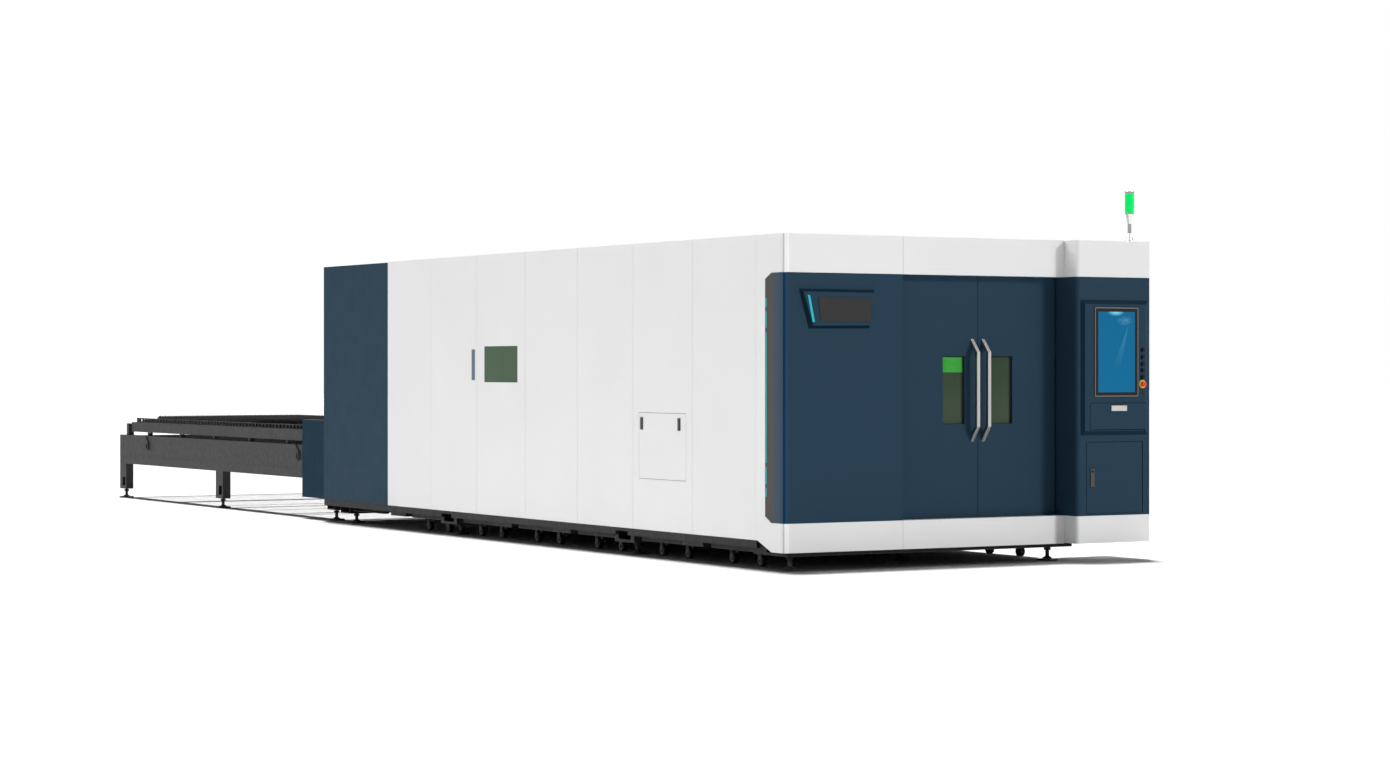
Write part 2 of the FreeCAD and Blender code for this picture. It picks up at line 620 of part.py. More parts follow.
corner = corner_shell(DOOR_X0, FRONT_RETURN - SEAM / 2, FRONT_BASE, BODY_TOP)
band_outline = [(-1, BAND_Z0), (STRIP_Y[1], BAND_Z0), (BAND_Y1, BAND_Z0 + BAND_SLOPE),
                (BAND_Y1, BAND_Z1 - BAND_SLOPE), (STRIP_Y[1], BAND_Z1), (-1, BAND_Z1)]
corner = corner.cut(side_plate(band_outline, -1, DOOR_X0 / 2))
corner = corner.cut(box(CORNER_R, DOOR_X0 + 1, -1, 2 * SHEET, BAND_Z0, BAND_Z1))
slope_outline = [(SLOPE_Y[0], FRONT_BASE - 1), (SLOPE_Y[1], PANEL_BASE), (FRONT_RETURN + 1, PANEL_BASE),
                 (FRONT_RETURN + 1, FRONT_BASE - 1)]
corner = corner.cut(side_plate(slope_outline, -1, 3 * SHEET))
piece("corner_cover", corner.removeSplitter())

# ---- header and sill over and under the doors --------------------------------------------
cover_x = [DOOR_X0 + SEAM, DOOR_X1 - COVER_GAP]
header = tray([*cover_x, 0, JAMB_DEPTH, BAND_Z1, BODY_TOP], 3, SHEET)
sill = tray([*cover_x, 0, JAMB_DEPTH, FRONT_BASE, BAND_Z0], 3, SHEET)
sill = sill.cut(box(cover_x[0] - 1, DOOR_X1 + 1, FRONT_BEAM_Y0 - 1, JAMB_DEPTH + 1, FRONT_BASE - 1, BED_FOOT))


def pivot_place(side):
    """Centre of a door pivot in plan: -1 for the left leaf, 1 for the right one."""
    half = DOOR_T / 2
    x = DOOR_X0 + DOOR_GAP + half if side < 0 else DOOR_X1 - DOOR_GAP - half
    return x, DOOR_Y + half


for side in (-1, 1):
    px, py = pivot_place(side)
    header = header.fuse(rod((px, py, BAND_Z1), (0, 0, -1), PIN_R, DOOR_GAP + PIN_IN))
    sill = sill.fuse(rod((px, py, BAND_Z0), (0, 0, 1), PIN_R, DOOR_GAP + PIN_IN))
header = header.makeFillet(EDGE_R, [e for e in edges_on(header, 1, 0.0) if e.BoundBox.XLength < 1])
piece("front_covers", header, sill)

# ---- fixed front panel, folded round the corner and back beside the doors -----------------
band_z = (BAND_Z0 + BAND_GAP, BAND_Z1 - BAND_GAP)
front_panel = corner_shell(DOOR_X0, STRIP_Y[0], *band_z)
jamb = box(DOOR_X0 - SHEET, DOOR_X0, 0, JAMB_DEPTH, *band_z)
piece("front_panel", front_panel.fuse(jamb).removeSplitter())

# ---- trim: strip and dark band on the corner, accent bar on the side ----------------------
strip = box(WINDOW_SET, WINDOW_SET + SHEET, STRIP_Y[0] + BAND_GAP, STRIP_Y[1], *band_z)
gap = 2 * BAND_GAP
band_outline = [(STRIP_Y[1], BAND_Z0 + gap), (BAND_Y1 - gap, BAND_Z0 + BAND_SLOPE + gap),
                (BAND_Y1 - gap, BAND_Z1 - BAND_SLOPE - gap), (STRIP_Y[1], BAND_Z1 - gap)]
band = side_plate(band_outline, TRIM_RECESS, TRIM_RECESS + SHEET)
backing = box(TRIM_RECESS + SHEET, BED_X0, STRIP_Y[1] - TRIM_BRACKET[0] / 2, STRIP_Y[1] + TRIM_BRACKET[0] / 2,
              BED_TOP, BED_TOP + TRIM_BRACKET[1])
accent = box(-ACCENT_T, 0, *ACCENT_Y, *ACCENT_Z)
accent = accent.makeFillet(ACCENT_T / 2, edges_on(accent, 0, -ACCENT_T))
piece("trim_strips", strip.fuse([band, backing]).removeSplitter(), accent)

# ---- light strips on the corner and on the badge ------------------------------------------
lights = [box(TRIM_RECESS - LED_T, TRIM_RECESS, *LED_Y, *span) for span in LED_Z]
lights.append(plate(BADGE_LED, -BADGE_T - LED_T, -BADGE_T))
piece("front_lights", *lights)

# ---- badge: bevelled housing with a blank dark plate --------------------------------------
badge = bevelled(BADGE_OUT, inset(BADGE_OUT, BADGE_BEVEL), 0.0, -BADGE_T)
piece("badge_housing", badge)
piece("badge_plate", plate(BADGE_PLATE, -BADGE_T - BADGE_PLATE_T, -BADGE_T))

# ---- roof panels -------------------------------------------------------------------------
roof_x = [PANEL_DEPTH + SEAM, BODY_W - PANEL_DEPTH - SEAM]
roof = [tray([roof_x[0], DOOR_X1 - COVER_GAP, JAMB_DEPTH, BED_Y0 - SEAM, ROOF_Z0, ROOF_Z1], 4, SHEET)]
for i in range(PANELS):
    y0, y1 = panel_span(i)
    roof.append(tray([*roof_x, max(y0, BED_Y0), y1, ROOF_Z0, ROOF_Z1], 4, SHEET))
roof.append(tray([*roof_x, REAR_Y0 + SEAM / 2, CHAMBER_Y1, ROOF_Z0, REAR_TOP], 4, SHEET))
piece("roof_panels", *roof)

# ---- rear box: side panels, and the end wall with the pallet passage -----------------------
rear_side = side_panel(REAR_Y0 + SEAM / 2, BODY_Y1, PANEL_BASE, REAR_TOP)
piece("rear_side_panels", *both(rear_side))
wall_x = PANEL_DEPTH + SEAM / 2
wall_y = [CHAMBER_Y1, BODY_Y1]
rear_wall = tray([wall_x, BODY_W - wall_x, *wall_y, PANEL_BASE, REAR_TOP], 2, SHEET)
passage = [BED_INNER, BODY_W - BED_INNER, *wall_y, *PASSAGE_Z]
rim = shrink(passage, -SHEET, (0, 2))
rear_wall = rear_wall.fuse(box(*rim)).cut(box(*shrink(passage, -1, (1,))))
piece("rear_wall", rear_wall.removeSplitter())

# ---- skirts that guard the inner end of the exchange table --------------------------------
skirt = tray([SKIRT_X0, TABLE_X0, BODY_Y1 + SKIRT_GAP, BODY_Y1 + SKIRT_L, *SKIRT_Z], 1, SHEET)
skirt = skirt.makeFillet(EDGE_R, edges_on(skirt, 0, SKIRT_X0))
piece("rear_skirts", *both(skirt))


# ---- front doors: folded leaves with a rounded pivot edge ----------------------------------
def door_leaf(side):
    px, py = pivot_place(side)
    half = DOOR_T / 2
    z0, z1 = BAND_Z0 + DOOR_GAP, BAND_Z1 - DOOR_GAP
    seam_edge = DOOR_MID + side * DOOR_GAP / 2
    x0, x1 = sorted((px, seam_edge))
    leaf = box(x0, x1, DOOR_Y, DOOR_Y + DOOR_T, z0, z1).fuse(rod((px, py, z0), (0, 0, 1), half, z1 - z0))
    near, far = sorted((px - side * half, seam_edge + side * SHEET))
    pocket = box(near, far, DOOR_Y + SHEET, DOOR_Y + DOOR_T + 1, z0 + LEAF_RIM, z1 - LEAF_RIM)
    wx = sorted((DOOR_MID + side * WINDOW_NEAR, DOOR_MID + side * (WINDOW_NEAR + WINDOW_W)))
    border = WINDOW_BORDER
    solid = box(wx[0] - border, wx[1] + border, DOOR_Y, DOOR_Y + DOOR_T, WINDOW_Z0 - border, WINDOW_Z1 + border)
    leaf = leaf.cut(pocket.cut(solid)).cut(box(*wx, DOOR_Y - 1, DOOR_Y + DOOR_T + 1, WINDOW_Z0, WINDOW_Z1))
    for z, way in ((z0, 1), (z1, -1)):
        leaf = leaf.cut(rod((px, py, z), (0, 0, way), PIN_R + PIN_CLEAR, PIN_IN + PIN_GAP))
    glass_y = DOOR_Y + GLASS_DEPTH
    glass = box(*wx, glass_y, glass_y + GLASS_T, WINDOW_Z0, WINDOW_Z1)
    return leaf.removeSplitter(), glass


def door_handle(x):
    """Square tube pull with mitred bends: two slanted ends and a straight grip."""
    y_grip = DOOR_Y - HANDLE_STAND
    z_foot0, z_bend0, z_bend1, z_foot1 = HANDLE_Z
    half = HANDLE_W / 2
    slope = math.atan2(HANDLE_STAND, z_bend0 - z_foot0)
    shift_in = half * math.tan(slope / 2)
    wide = HANDLE_W / math.sin(slope)
    outline = [(DOOR_Y, z_foot0), (y_grip - half, z_bend0 - shift_in), (y_grip - half, z_bend1 + shift_in),
               (DOOR_Y, z_foot1), (DOOR_Y, z_foot1 - wide), (y_grip + half, z_bend1 - shift_in),
               (y_grip + half, z_bend0 + shift_in), (DOOR_Y, z_foot0 + wide)]
    bar = side_plate(outline, x - half, x + half)
    sides = edges_on(bar, 0, x - half) + edges_on(bar, 0, x + half)
    return bar.makeFillet(HANDLE_EDGE_R, [e for e in sides if e.BoundBox.YMin < DOOR_Y - 0.1])


for side, word in ((-1, "left"), (1, "right")):
    leaf, glass = door_leaf(side)
    piece("door_%s" % word, leaf)
    piece("door_%s_glass" % word, glass)
    piece("door_%s_handle" % word, door_handle(DOOR_MID + side * HANDLE_OFF))


# ---- control cabinet: header, body and sill shells -----------------------------------------
def cab_box(z0, z1, open_end):
    shape = box(DOOR_X1, CAB_X1, CAB_Y0, CAB_Y1, z0, z1)
    shape = shape.makeFillet(CAB_R, upright_edge(shape, DOOR_X1, CAB_Y0))
    shape = shape.makeFillet(CAB_R / 3, upright_edge(shape, CAB_X1, CAB_Y0))
    inner = shrink([DOOR_X1, CAB_X1, CAB_Y0, CAB_Y1, z0, z1], CAB_WALL, (0, 1, 2))
    if open_end is not None:
        inner[open_end] += 2 * CAB_WALL * (1 if open_end == 5 else -1)
    hollow = box(*inner)
    hollow = hollow.makeFillet(CAB_R - CAB_WALL, upright_edge(hollow, inner[0], inner[2]))
    return shape.cut(hollow)


def stem_hole(z, radius):
    """Hole for a push button's stem, through the fascia and the cabinet front."""
    return rod((BUTTON_X, FACE_Y - 1, z), (0, 1, 0), radius + STEM_CLEAR, FASCIA_T + CAB_WALL + 2)


stem_holes = [stem_hole(z, BUTTON_STEM_R) for z in BUTTON_Z] + [stem_hole(ESTOP_Z, ESTOP_STEM_R)]
flap_hole = box(FLAP_X[0] - SMALL_GAP, FLAP_X[1] + SMALL_GAP, FACE_Y - 1, CAB_Y0 + CAB_WALL + 1,
                FLAP_Z[0] - SMALL_GAP, FLAP_Z[1] + SMALL_GAP)
monitor_in = inset(rectangle(MONITOR_X, MONITOR_Z), MONITOR_FRAME / 2)
monitor_hole = plate(monitor_in, FACE_Y - 1, CAB_Y0 + CAB_WALL + 1)
door_hole = box(CAB_DOOR_X[0] - SMALL_GAP, CAB_DOOR_X[1] + SMALL_GAP, CAB_Y0 - 1, CAB_Y0 + CAB_WALL + 1,
                CAB_DOOR_Z[0] - SMALL_GAP, CAB_DOOR_Z[1] + SMALL_GAP)
cab_body = cab_box(BAND_Z0 + CAB_SEAM, BAND_Z1, None).cut([flap_hole, monitor_hole, door_hole, *stem_holes])
cab_header = cab_box(BAND_Z1 + CAB_SEAM, CAB_TOP, 4)
cab_sill = cab_box(CAB_Z0, BAND_Z0, 5)

# pivots of the cabinet door and of the keyboard flap, on lugs behind the cabinet front
CAB_AXIS = (CAB_DOOR_X[1] - CAB_DOOR_T / 2, CAB_Y0 - CAB_DOOR_PROUD + CAB_DOOR_T / 2)
FLAP_AXIS = (FACE_Y - FLAP_PROUD + FLAP_T / 2, FLAP_Z[0] + FLAP_T / 2)
lugs = []
for z, way in ((CAB_DOOR_Z[0] - SMALL_GAP, 1), (CAB_DOOR_Z[1] + SMALL_GAP, -1)):
    near, far = sorted((z, z - way * LUG))
    lugs.append(box(CAB_AXIS[0] - LUG / 2, CAB_AXIS[0] + LUG / 2, CAB_Y0 + CAB_WALL, CAB_AXIS[1] + LUG / 2,
                    near, far))
    lugs.append(rod((CAB_AXIS[0], CAB_AXIS[1], z - way * LUG / 2), (0, 0, way), SMALL_PIN_R,
                    LUG / 2 + SMALL_GAP + SMALL_PIN_IN))
cab_body = cab_body.fuse(lugs).removeSplitter()
piece("cabinet_shell", cab_sill, cab_body, cab_header)

# ---- fascia plate with bevelled edges -------------------------------------------------------
fascia_outline = rectangle(FASCIA_X, FASCIA_Z)
fascia = bevelled(fascia_outline, inset(fascia_outline, FASCIA_BEVEL), CAB_Y0, FACE_Y)
fascia = fascia.makeFillet(FASCIA_R, [e for e in fascia.Edges if e.BoundBox.YLength > FASCIA_T / 2])
fascia = fascia.cut([flap_hole, monitor_hole, *stem_holes])
flap_pins = []
for x, way in ((FLAP_X[0] - SMALL_GAP, 1), (FLAP_X[1] + SMALL_GAP, -1)):
    flap_pins.append(rod((x, *FLAP_AXIS), (way, 0, 0), SMALL_PIN_R, SMALL_GAP + SMALL_PIN_IN))
piece("cabinet_fascia", fascia.fuse(flap_pins).removeSplitter())

# ---- monitor: frame with its back box, and the screen ---------------------------------------
front_face = FACE_Y - MONITOR_T
frame_plate = plate(rectangle(MONITOR_X, MONITOR_Z), front_face, FACE_Y)
frame_plate = frame_plate.makeFillet(MONITOR_R, [e for e in frame_plate.Edges if e.BoundBox.YLength > 1])
back_box = plate(monitor_in, FACE_Y, FACE_Y + MONITOR_BACK)
screen_outline = inset(rectangle(MONITOR_X, MONITOR_Z), MONITOR_FRAME)
screen_recess = plate(screen_outline, front_face - 1, front_face + SCREEN_T + SCREEN_SET)
monitor = frame_plate.fuse(back_box).cut(screen_recess).removeSplitter()
rim_edges = [e for e in edges_on(monitor, 1, front_face)
             if e.BoundBox.XMin < MONITOR_X[0] + 1 or e.BoundBox.XMax > MONITOR_X[1] - 1
             or e.BoundBox.ZMin > MONITOR_Z[1] - 1 or e.BoundBox.ZMax < MONITOR_Z[0] + 1]
monitor = monitor.makeFillet(MONITOR_EDGE_R, rim_edges)
piece("monitor_frame", monitor)
piece("monitor_screen", plate(screen_outline, front_face + SCREEN_SET, front_face + SCREEN_SET + SCREEN_T))


# ---- push buttons and emergency stop ---------------------------------------------------------
def knob(z, seat, stem_r, gap, cap_r, cap_h, round_r):
    """Push button: a stem through the fascia and a rounded cap in front of it."""
    cap_back = seat - gap
    stem = rod((BUTTON_X, CAB_Y0, z), (0, -1, 0), stem_r, CAB_Y0 - cap_back)
    cap = rod((BUTTON_X, cap_back, z), (0, -1, 0), cap_r, cap_h)
    cap = cap.makeFillet(round_r, edges_on(cap, 1, cap_back - cap_h))
    return stem.fuse(cap).removeSplitter()


for number, z in enumerate(BUTTON_Z, start=1):
    cap = knob(z, FACE_Y, BUTTON_STEM_R, BUTTON_TRAVEL + PRESS_STOP, BUTTON_R, BUTTON_CAP, BUTTON_ROUND)
    piece("button_%d" % number, cap)
ring = rod((BUTTON_X, FACE_Y, ESTOP_Z), (0, -1, 0), ESTOP_RING_R, ESTOP_RING_T)
ring = ring.makeFillet(BUTTON_ROUND, edges_on(ring, 1, FACE_Y - ESTOP_RING_T))
piece("estop_ring", ring.cut(rod((BUTTON_X, FACE_Y + 1, ESTOP_Z), (0, -1, 0), ESTOP_STEM_R + STEM_CLEAR,
                                   ESTOP_RING_T + 2)))
ring_face = FACE_Y - ESTOP_RING_T
piece("estop_button", knob(ESTOP_Z, ring_face, ESTOP_STEM_R, ESTOP_TRAVEL + PRESS_STOP, ESTOP_HEAD_R,
                           ESTOP_HEAD, ESTOP_ROUND))

# ---- keyboard flap with its pull --------------------------------------------------------------
flap_y0 = FACE_Y - FLAP_PROUD
flap = box(*FLAP_X, flap_y0, flap_y0 + FLAP_T, FLAP_AXIS[1], FLAP_Z[1])
flap = flap.fuse(rod((FLAP_X[0], *FLAP_AXIS), (1, 0, 0), FLAP_T / 2, FLAP_X[1] - FLAP_X[0]))
for x, way in ((FLAP_X[0], 1), (FLAP_X[1], -1)):
    flap = flap.cut(rod((x, *FLAP_AXIS), (way, 0, 0), SMALL_PIN_R + PIN_CLEAR, SMALL_PIN_IN + PIN_GAP))
piece("keyboard_flap", flap.removeSplitter())
pull = box(*PULL_X, flap_y0 - PULL_T, flap_y0, *PULL_Z)
grip = box(PULL_X[0] + PULL_WALL, PULL_X[1] - PULL_WALL, flap_y0 - PULL_T + PULL_WALL / 2,
           flap_y0 - PULL_WALL / 2, PULL_Z[0] - 1, PULL_Z[1] - PULL_LIP)
pull = pull.makeFillet(BUTTON_ROUND, edges_on(pull, 1, flap_y0 - PULL_T)).cut(grip)
piece("flap_pull", pull)

# ---- lower cabinet door with its turning latch -------------------------------------------------
leaf_y0 = CAB_Y0 - CAB_DOOR_PROUD
cab_door = box(CAB_DOOR_X[0], CAB_AXIS[0], leaf_y0, leaf_y0 + CAB_DOOR_T, *CAB_DOOR_Z)
cab_door = cab_door.fuse(rod((*CAB_AXIS, CAB_DOOR_Z[0]), (0, 0, 1), CAB_DOOR_T / 2,
                             CAB_DOOR_Z[1] - CAB_DOOR_Z[0]))
pocket = box(CAB_DOOR_X[0] + CAB_DOOR_RIM, CAB_AXIS[0] - CAB_DOOR_RIM, leaf_y0 + SHEET,
             leaf_y0 + CAB_DOOR_T + 1, CAB_DOOR_Z[0] + CAB_DOOR_RIM, CAB_DOOR_Z[1] - CAB_DOOR_RIM)
latch_x = sum(LATCH_X) / 2
latch_z = LATCH_Z[1] - LATCH_PIN
latch_boss = rod((latch_x, leaf_y0, latch_z), (0, 1, 0), LATCH_BOSS_R, CAB_DOOR_T)
cab_door = cab_door.cut(pocket).fuse(latch_boss)
latch_hole = rod((latch_x, leaf_y0 - 1, latch_z), (0, 1, 0), LATCH_PIN_R + PIN_CLEAR, LATCH_PIN_L + 3)
cab_door = cab_door.cut(latch_hole)
for z, way in ((CAB_DOOR_Z[0], 1), (CAB_DOOR_Z[1], -1)):
    cab_door = cab_door.cut(rod((*CAB_AXIS, z), (0, 0, way), SMALL_PIN_R + PIN_CLEAR, SMALL_PIN_IN + PIN_GAP))
piece("cabinet_door", cab_door.removeSplitter())
latch_y = leaf_y0 - LATCH_LIFT
latch = box(*LATCH_X, latch_y - LATCH_T, latch_y, *LATCH_Z)
latch = latch.makeFillet(LATCH_R, edges_on(latch, 1, latch_y - LATCH_T))
latch = latch.fuse(rod((latch_x, latch_y, latch_z), (0, 1, 0), LATCH_PIN_R, LATCH_PIN_L))
piece("cabinet_latch", latch.removeSplitter())

# ---- signal lamp on the cabinet roof ------------------------------------------------------------
base_z, pole_z, cone_z, lens_z0, lens_z1, cap_z = [CAB_TOP + up for up in LAMP_UP]


def lamp_rod(z0, z1, radius):
    return rod((LAMP_X, LAMP_Y, z0), (0, 0, 1), radius, z1 - z0)


collar = Part.makeCone(LAMP_BASE_R, LAMP_POLE_R, base_z - CAB_TOP, V(LAMP_X, LAMP_Y, CAB_TOP))
pole = lamp_rod(CAB_TOP, cone_z, LAMP_POLE_R)
cone = Part.makeCone(LAMP_POLE_R, LAMP_SEAT_R, cone_z - pole_z, V(LAMP_X, LAMP_Y, pole_z))
seat = lamp_rod(cone_z, lens_z0, LAMP_SEAT_R)
cap = lamp_rod(lens_z1, cap_z, LAMP_LENS_R)
cap = cap.makeFillet(LAMP_ROUND, edges_on(cap, 2, cap_z))
piece("lamp_stand", collar.fuse([pole, cone, seat]).removeSplitter(), cap)
piece("lamp_lens", lamp_rod(lens_z0, lens_z1, LAMP_LENS_R))

# ---- gantry guides on the bed beams ---------------------------------------------------------------
GUIDE_TOP = BED_TOP + GUIDE_H
guide = box(GUIDE_X0, GUIDE_X0 + GUIDE_W, BED_Y0 + GUIDE_END, CHAMBER_Y1 - GUIDE_END, BED_TOP, GUIDE_TOP)
piece("gantry_guides", *both(guide))

# ---- gantry: beam on two trucks ---------------------------------------------------------------------
truck_low = GUIDE_TOP + RUN_GAP
truck_x0 = POST_X1 + TRUCK_GAP
truck = box(truck_x0, truck_x0 + TRUCK_W, GANTRY_Y - TRUCK_L / 2, GANTRY_Y + TRUCK_L / 2, truck_low,
            GANTRY_BEAM_Z[0])
beam_y = [GANTRY_Y - GANTRY_BEAM_W / 2, GANTRY_Y + GANTRY_BEAM_W / 2]
gantry_beam = tube([truck_x0, BODY_W - truck_x0, *beam_y, *GANTRY_BEAM_Z], 0, GANTRY_WALL)
guide_z = (GANTRY_BEAM_Z[0] + BEAM_GUIDE_IN, GANTRY_BEAM_Z[1] - BEAM_GUIDE_IN - BEAM_GUIDE[1])
guide_y = (beam_y[0] - BEAM_GUIDE[0], beam_y[0])
beam_guides = [box(truck_x0 + TRUCK_W, BODY_W - truck_x0 - TRUCK_W, *guide_y, z, z + BEAM_GUIDE[1])
               for z in guide_z]
piece("gantry_beam", gantry_beam, *both(truck), *beam_guides)

# ---- head carriage on the front of the beam, and the cutting head -------------------------------------
car_y1 = guide_y[0] - RUN_GAP

def about_carriage(width):
    """Both sides of something that is centred on the carriage."""
    return CARRIAGE_X - width / 2, CARRIAGE_X + width / 2


front = car_y1 - CARRIAGE_T
carriage = box(*about_carriage(CARRIAGE_W), front, car_y1, *CARRIAGE_Z)
head_guide = box(*about_carriage(HEAD_GUIDE_W), front - HEAD_GUIDE_T, front, CARRIAGE_Z[0] + 10, CARRIAGE_Z[1])
motor = box(*about_carriage(MOTOR_W), front, car_y1, CARRIAGE_Z[1], CARRIAGE_Z[1] + MOTOR_H)
piece("head_carriage", carriage, head_guide, motor)
head_y1 = front - HEAD_GUIDE_T - RUN_GAP
head_y = head_y1 - HEAD_W / 2
head = box(*about_carriage(HEAD_W), head_y1 - HEAD_W, head_y1, *HEAD_Z)
neck_z0 = NOZZLE_Z + NOZZLE_H
lower = rod((CARRIAGE_X, head_y, neck_z0), (0, 0, 1), HEAD_NECK_R, HEAD_Z[0] - neck_z0)
tip = Part.makeCone(NOZZLE_R, HEAD_NECK_R, NOZZLE_H, V(CARRIAGE_X, head_y, NOZZLE_Z))
piece("cutting_head", head.fuse([lower, tip]).removeSplitter())


# ---- pallets: beams, ties, combs, rollers and toothed slats -----------------------------------------
def slat(x0, x1, y, z0):
    """Toothed support slat: plain ends and a row of triangular teeth between them."""
    top = z0 + SLAT_H
    points = [(x0, z0), (x0, top)]
    x = x0 + TOOTH_MARGIN
    teeth = int((x1 - x0 - 2 * TOOTH_MARGIN) / TOOTH_PITCH)
    points.append((x, top))
    for i in range(teeth):
        points.append((x, top + TOOTH_RISE))
        points.append((x + TOOTH_PITCH / 2, top + TOOTH_RISE + TOOTH_H))
        x += TOOTH_PITCH
    points += [(x, top + TOOTH_RISE), (x, top), (x1, top), (x1, z0)]
    return plate(points, y, y + SLAT_T)


def pallet(x0, y0, rail_top):
    """Frame solids and slat solids of one pallet whose rollers run on the given height."""
    x1 = BODY_W - x0
    z0 = rail_top + LEVEL
    z1 = z0 + PALLET_BEAM_H
    y1 = y0 + PALLET_L
    inner = x0 + PALLET_BEAM_W
    beam = tube([x0, inner, y0, y1, z0, z1], 1, PALLET_WALL)
    lug_t, lug_w, lug_drop = ROLLER_LUG
    lug_x = x0 + lug_t
    lugs = []
    rollers = []
    for i in range(ROLLER_N):
        y = y0 + ROLLER_FIRST + i * ROLLER_PITCH
        zc = rail_top + ROLLER_GAP + ROLLER_R
        for x in (x0, lug_x + ROLLER_W + 2):
            lugs.append(box(x, x + lug_t, y - lug_w / 2, y + lug_w / 2, zc - lug_drop, z0))
        wheel = rod((lug_x + 1, y, zc), (1, 0, 0), ROLLER_R, ROLLER_W)
        axle = rod((lug_x, y, zc), (1, 0, 0), ROLLER_AXLE_R, ROLLER_W + 2)
        rollers.append(wheel.fuse(axle).removeSplitter())
    ledge_z = z0 + LEDGE_UP
    ledge = box(inner, inner + LEDGE_W, y0 + PALLET_END, y1 - PALLET_END, ledge_z, ledge_z + LEDGE_T)
    comb_x = (inner - COMB_T - COMB_IN, inner - COMB_IN)
    comb = box(*comb_x, y0 + PALLET_END, y1 - PALLET_END, z1, z1 + COMB_H)
    slat_count = int((PALLET_L - 2 * SLAT_FIRST) / SLAT_PITCH) + 1
    slat_y = [y0 + SLAT_FIRST + i * SLAT_PITCH for i in range(slat_count)]
    notches = [box(comb_x[0] - 1, comb_x[1] + 1, y + COMB_POST, y + SLAT_PITCH - COMB_POST,
                   z1 + COMB_RIM, z1 + COMB_H - COMB_RIM) for y in slat_y[:-1]]
    side = beam.fuse(lugs + [ledge]).removeSplitter()
    frame = both(side) + both(comb.cut(notches))
    for wheel in rollers:
        frame += both(wheel)
    far = x1 - PALLET_BEAM_W
    for y in (y0, y1 - PALLET_TIE_END):
        frame.append(tube([inner, far, y, y + PALLET_TIE_END, z0, z1], 0, PALLET_WALL))
    for i in range(1, PALLET_TIES + 1):
        y = y0 + i * PALLET_L / (PALLET_TIES + 1)
        limits = [inner, far, y - PALLET_TIE_W / 2, y + PALLET_TIE_W / 2, z0, ledge_z]
        frame.append(tube(limits, 0, PALLET_TIE_WALL))
    slats = [slat(inner + SLAT_CLEAR, far - SLAT_CLEAR, y, ledge_z + LEDGE_T) for y in slat_y]
    return frame, slats


upper_frame, upper_slats = pallet(PALLET_X0, PALLET_Y0, DECK)
piece("upper_pallet", *upper_frame)
piece("upper_slats", *upper_slats)
lower_frame, lower_slats = pallet(PALLET_X0 + LOWER_IN, PALLET_IN_Y0, DECK - LOWER_DROP)
piece("lower_pallet", *lower_frame, *lower_slats)

# ---- pallet rails: ledges on the bed and on the table ------------------------------------------------
low_deck = DECK - LOWER_DROP
low_end = PALLET_X0 + LOWER_IN + PALLET_BEAM_W
rail_y0 = BED_Y0 + PALLET_END
upper_rail = box(BED_INNER, BED_INNER + UPPER_RAIL_W, rail_y0, CHAMBER_Y1, DECK - RAIL_H, DECK)
lower_rail = box(BED_INNER, low_end, rail_y0, CHAMBER_Y1, low_deck - RAIL_H, low_deck)
end_tie_y0 = TABLE_Y1 - (LEG_W + TIE_W) / 2
table_rail = box(TABLE_X0 + LEG_T, low_end, TABLE_Y0, end_tie_y0, low_deck - RAIL_H, low_deck)
piece("pallet_rails", *both(upper_rail), *both(lower_rail), *both(table_rail))


# ---- exchange table: legs, side beams, ties and end stops ---------------------------------------------
def table_leg(y):
    limits = [TABLE_X0, TABLE_X0 + LEG_T, y, y + LEG_W, LEG_FOOT, DECK]
    leg = box(*limits).cut(box(*shrink(limits, TABLE_WALL, (0, 1, 2))))
    window = box(TABLE_X0 - 1, TABLE_X0 + TABLE_WALL + 1, y + POCKET_Y[0], y + POCKET_Y[1],
                 LEG_FOOT + POCKET_Z[0], LEG_FOOT + POCKET_Z[1])
    return leg.cut(window)


table = []
for i in range(LEGS):
    y = TABLE_Y0 + i * LEG_PITCH
    table += both(table_leg(y))
    tie_top = END_TIE_Z1 if i == LEGS - 1 else TIE_Z1
    table.append(tube([TABLE_X0 + LEG_T, BODY_W - TABLE_X0 - LEG_T, y + LEG_W / 2 - TIE_W / 2,
                       y + LEG_W / 2 + TIE_W / 2, BEAM_Z0, tie_top], 0, TIE_WALL))
for i in range(LEGS - 1):
    y0 = TABLE_Y0 + i * LEG_PITCH + LEG_W
    y1 = y0 + LEG_PITCH - LEG_W
    side_beam = tube([TABLE_X0, TABLE_X0 + LEG_T, y0, y1, BEAM_Z0, DECK], 1, TABLE_WALL)
    groove = box(TABLE_X0 - 1, TABLE_X0 + CREASE, y0 - 1, y1 + 1, CREASE_Z - CREASE / 2, CREASE_Z + CREASE / 2)
    table += both(side_beam.cut(groove))
    y_mid = (y0 + y1) / 2
    table.append(tube([TABLE_X0 + LEG_T, BODY_W - TABLE_X0 - LEG_T, y_mid - TIE_W / 2, y_mid + TIE_W / 2,
                       BEAM_Z0, TIE_Z1], 0, TIE_WALL))
stop_y = PALLET_Y0 + PALLET_L + STOP_BACK
stop_x = TABLE_X0 + STOP_IN
table += both(box(stop_x, stop_x + STOP_W, stop_y, stop_y + STOP_W, DECK, DECK + STOP_H))
piece("table_frame", *table)


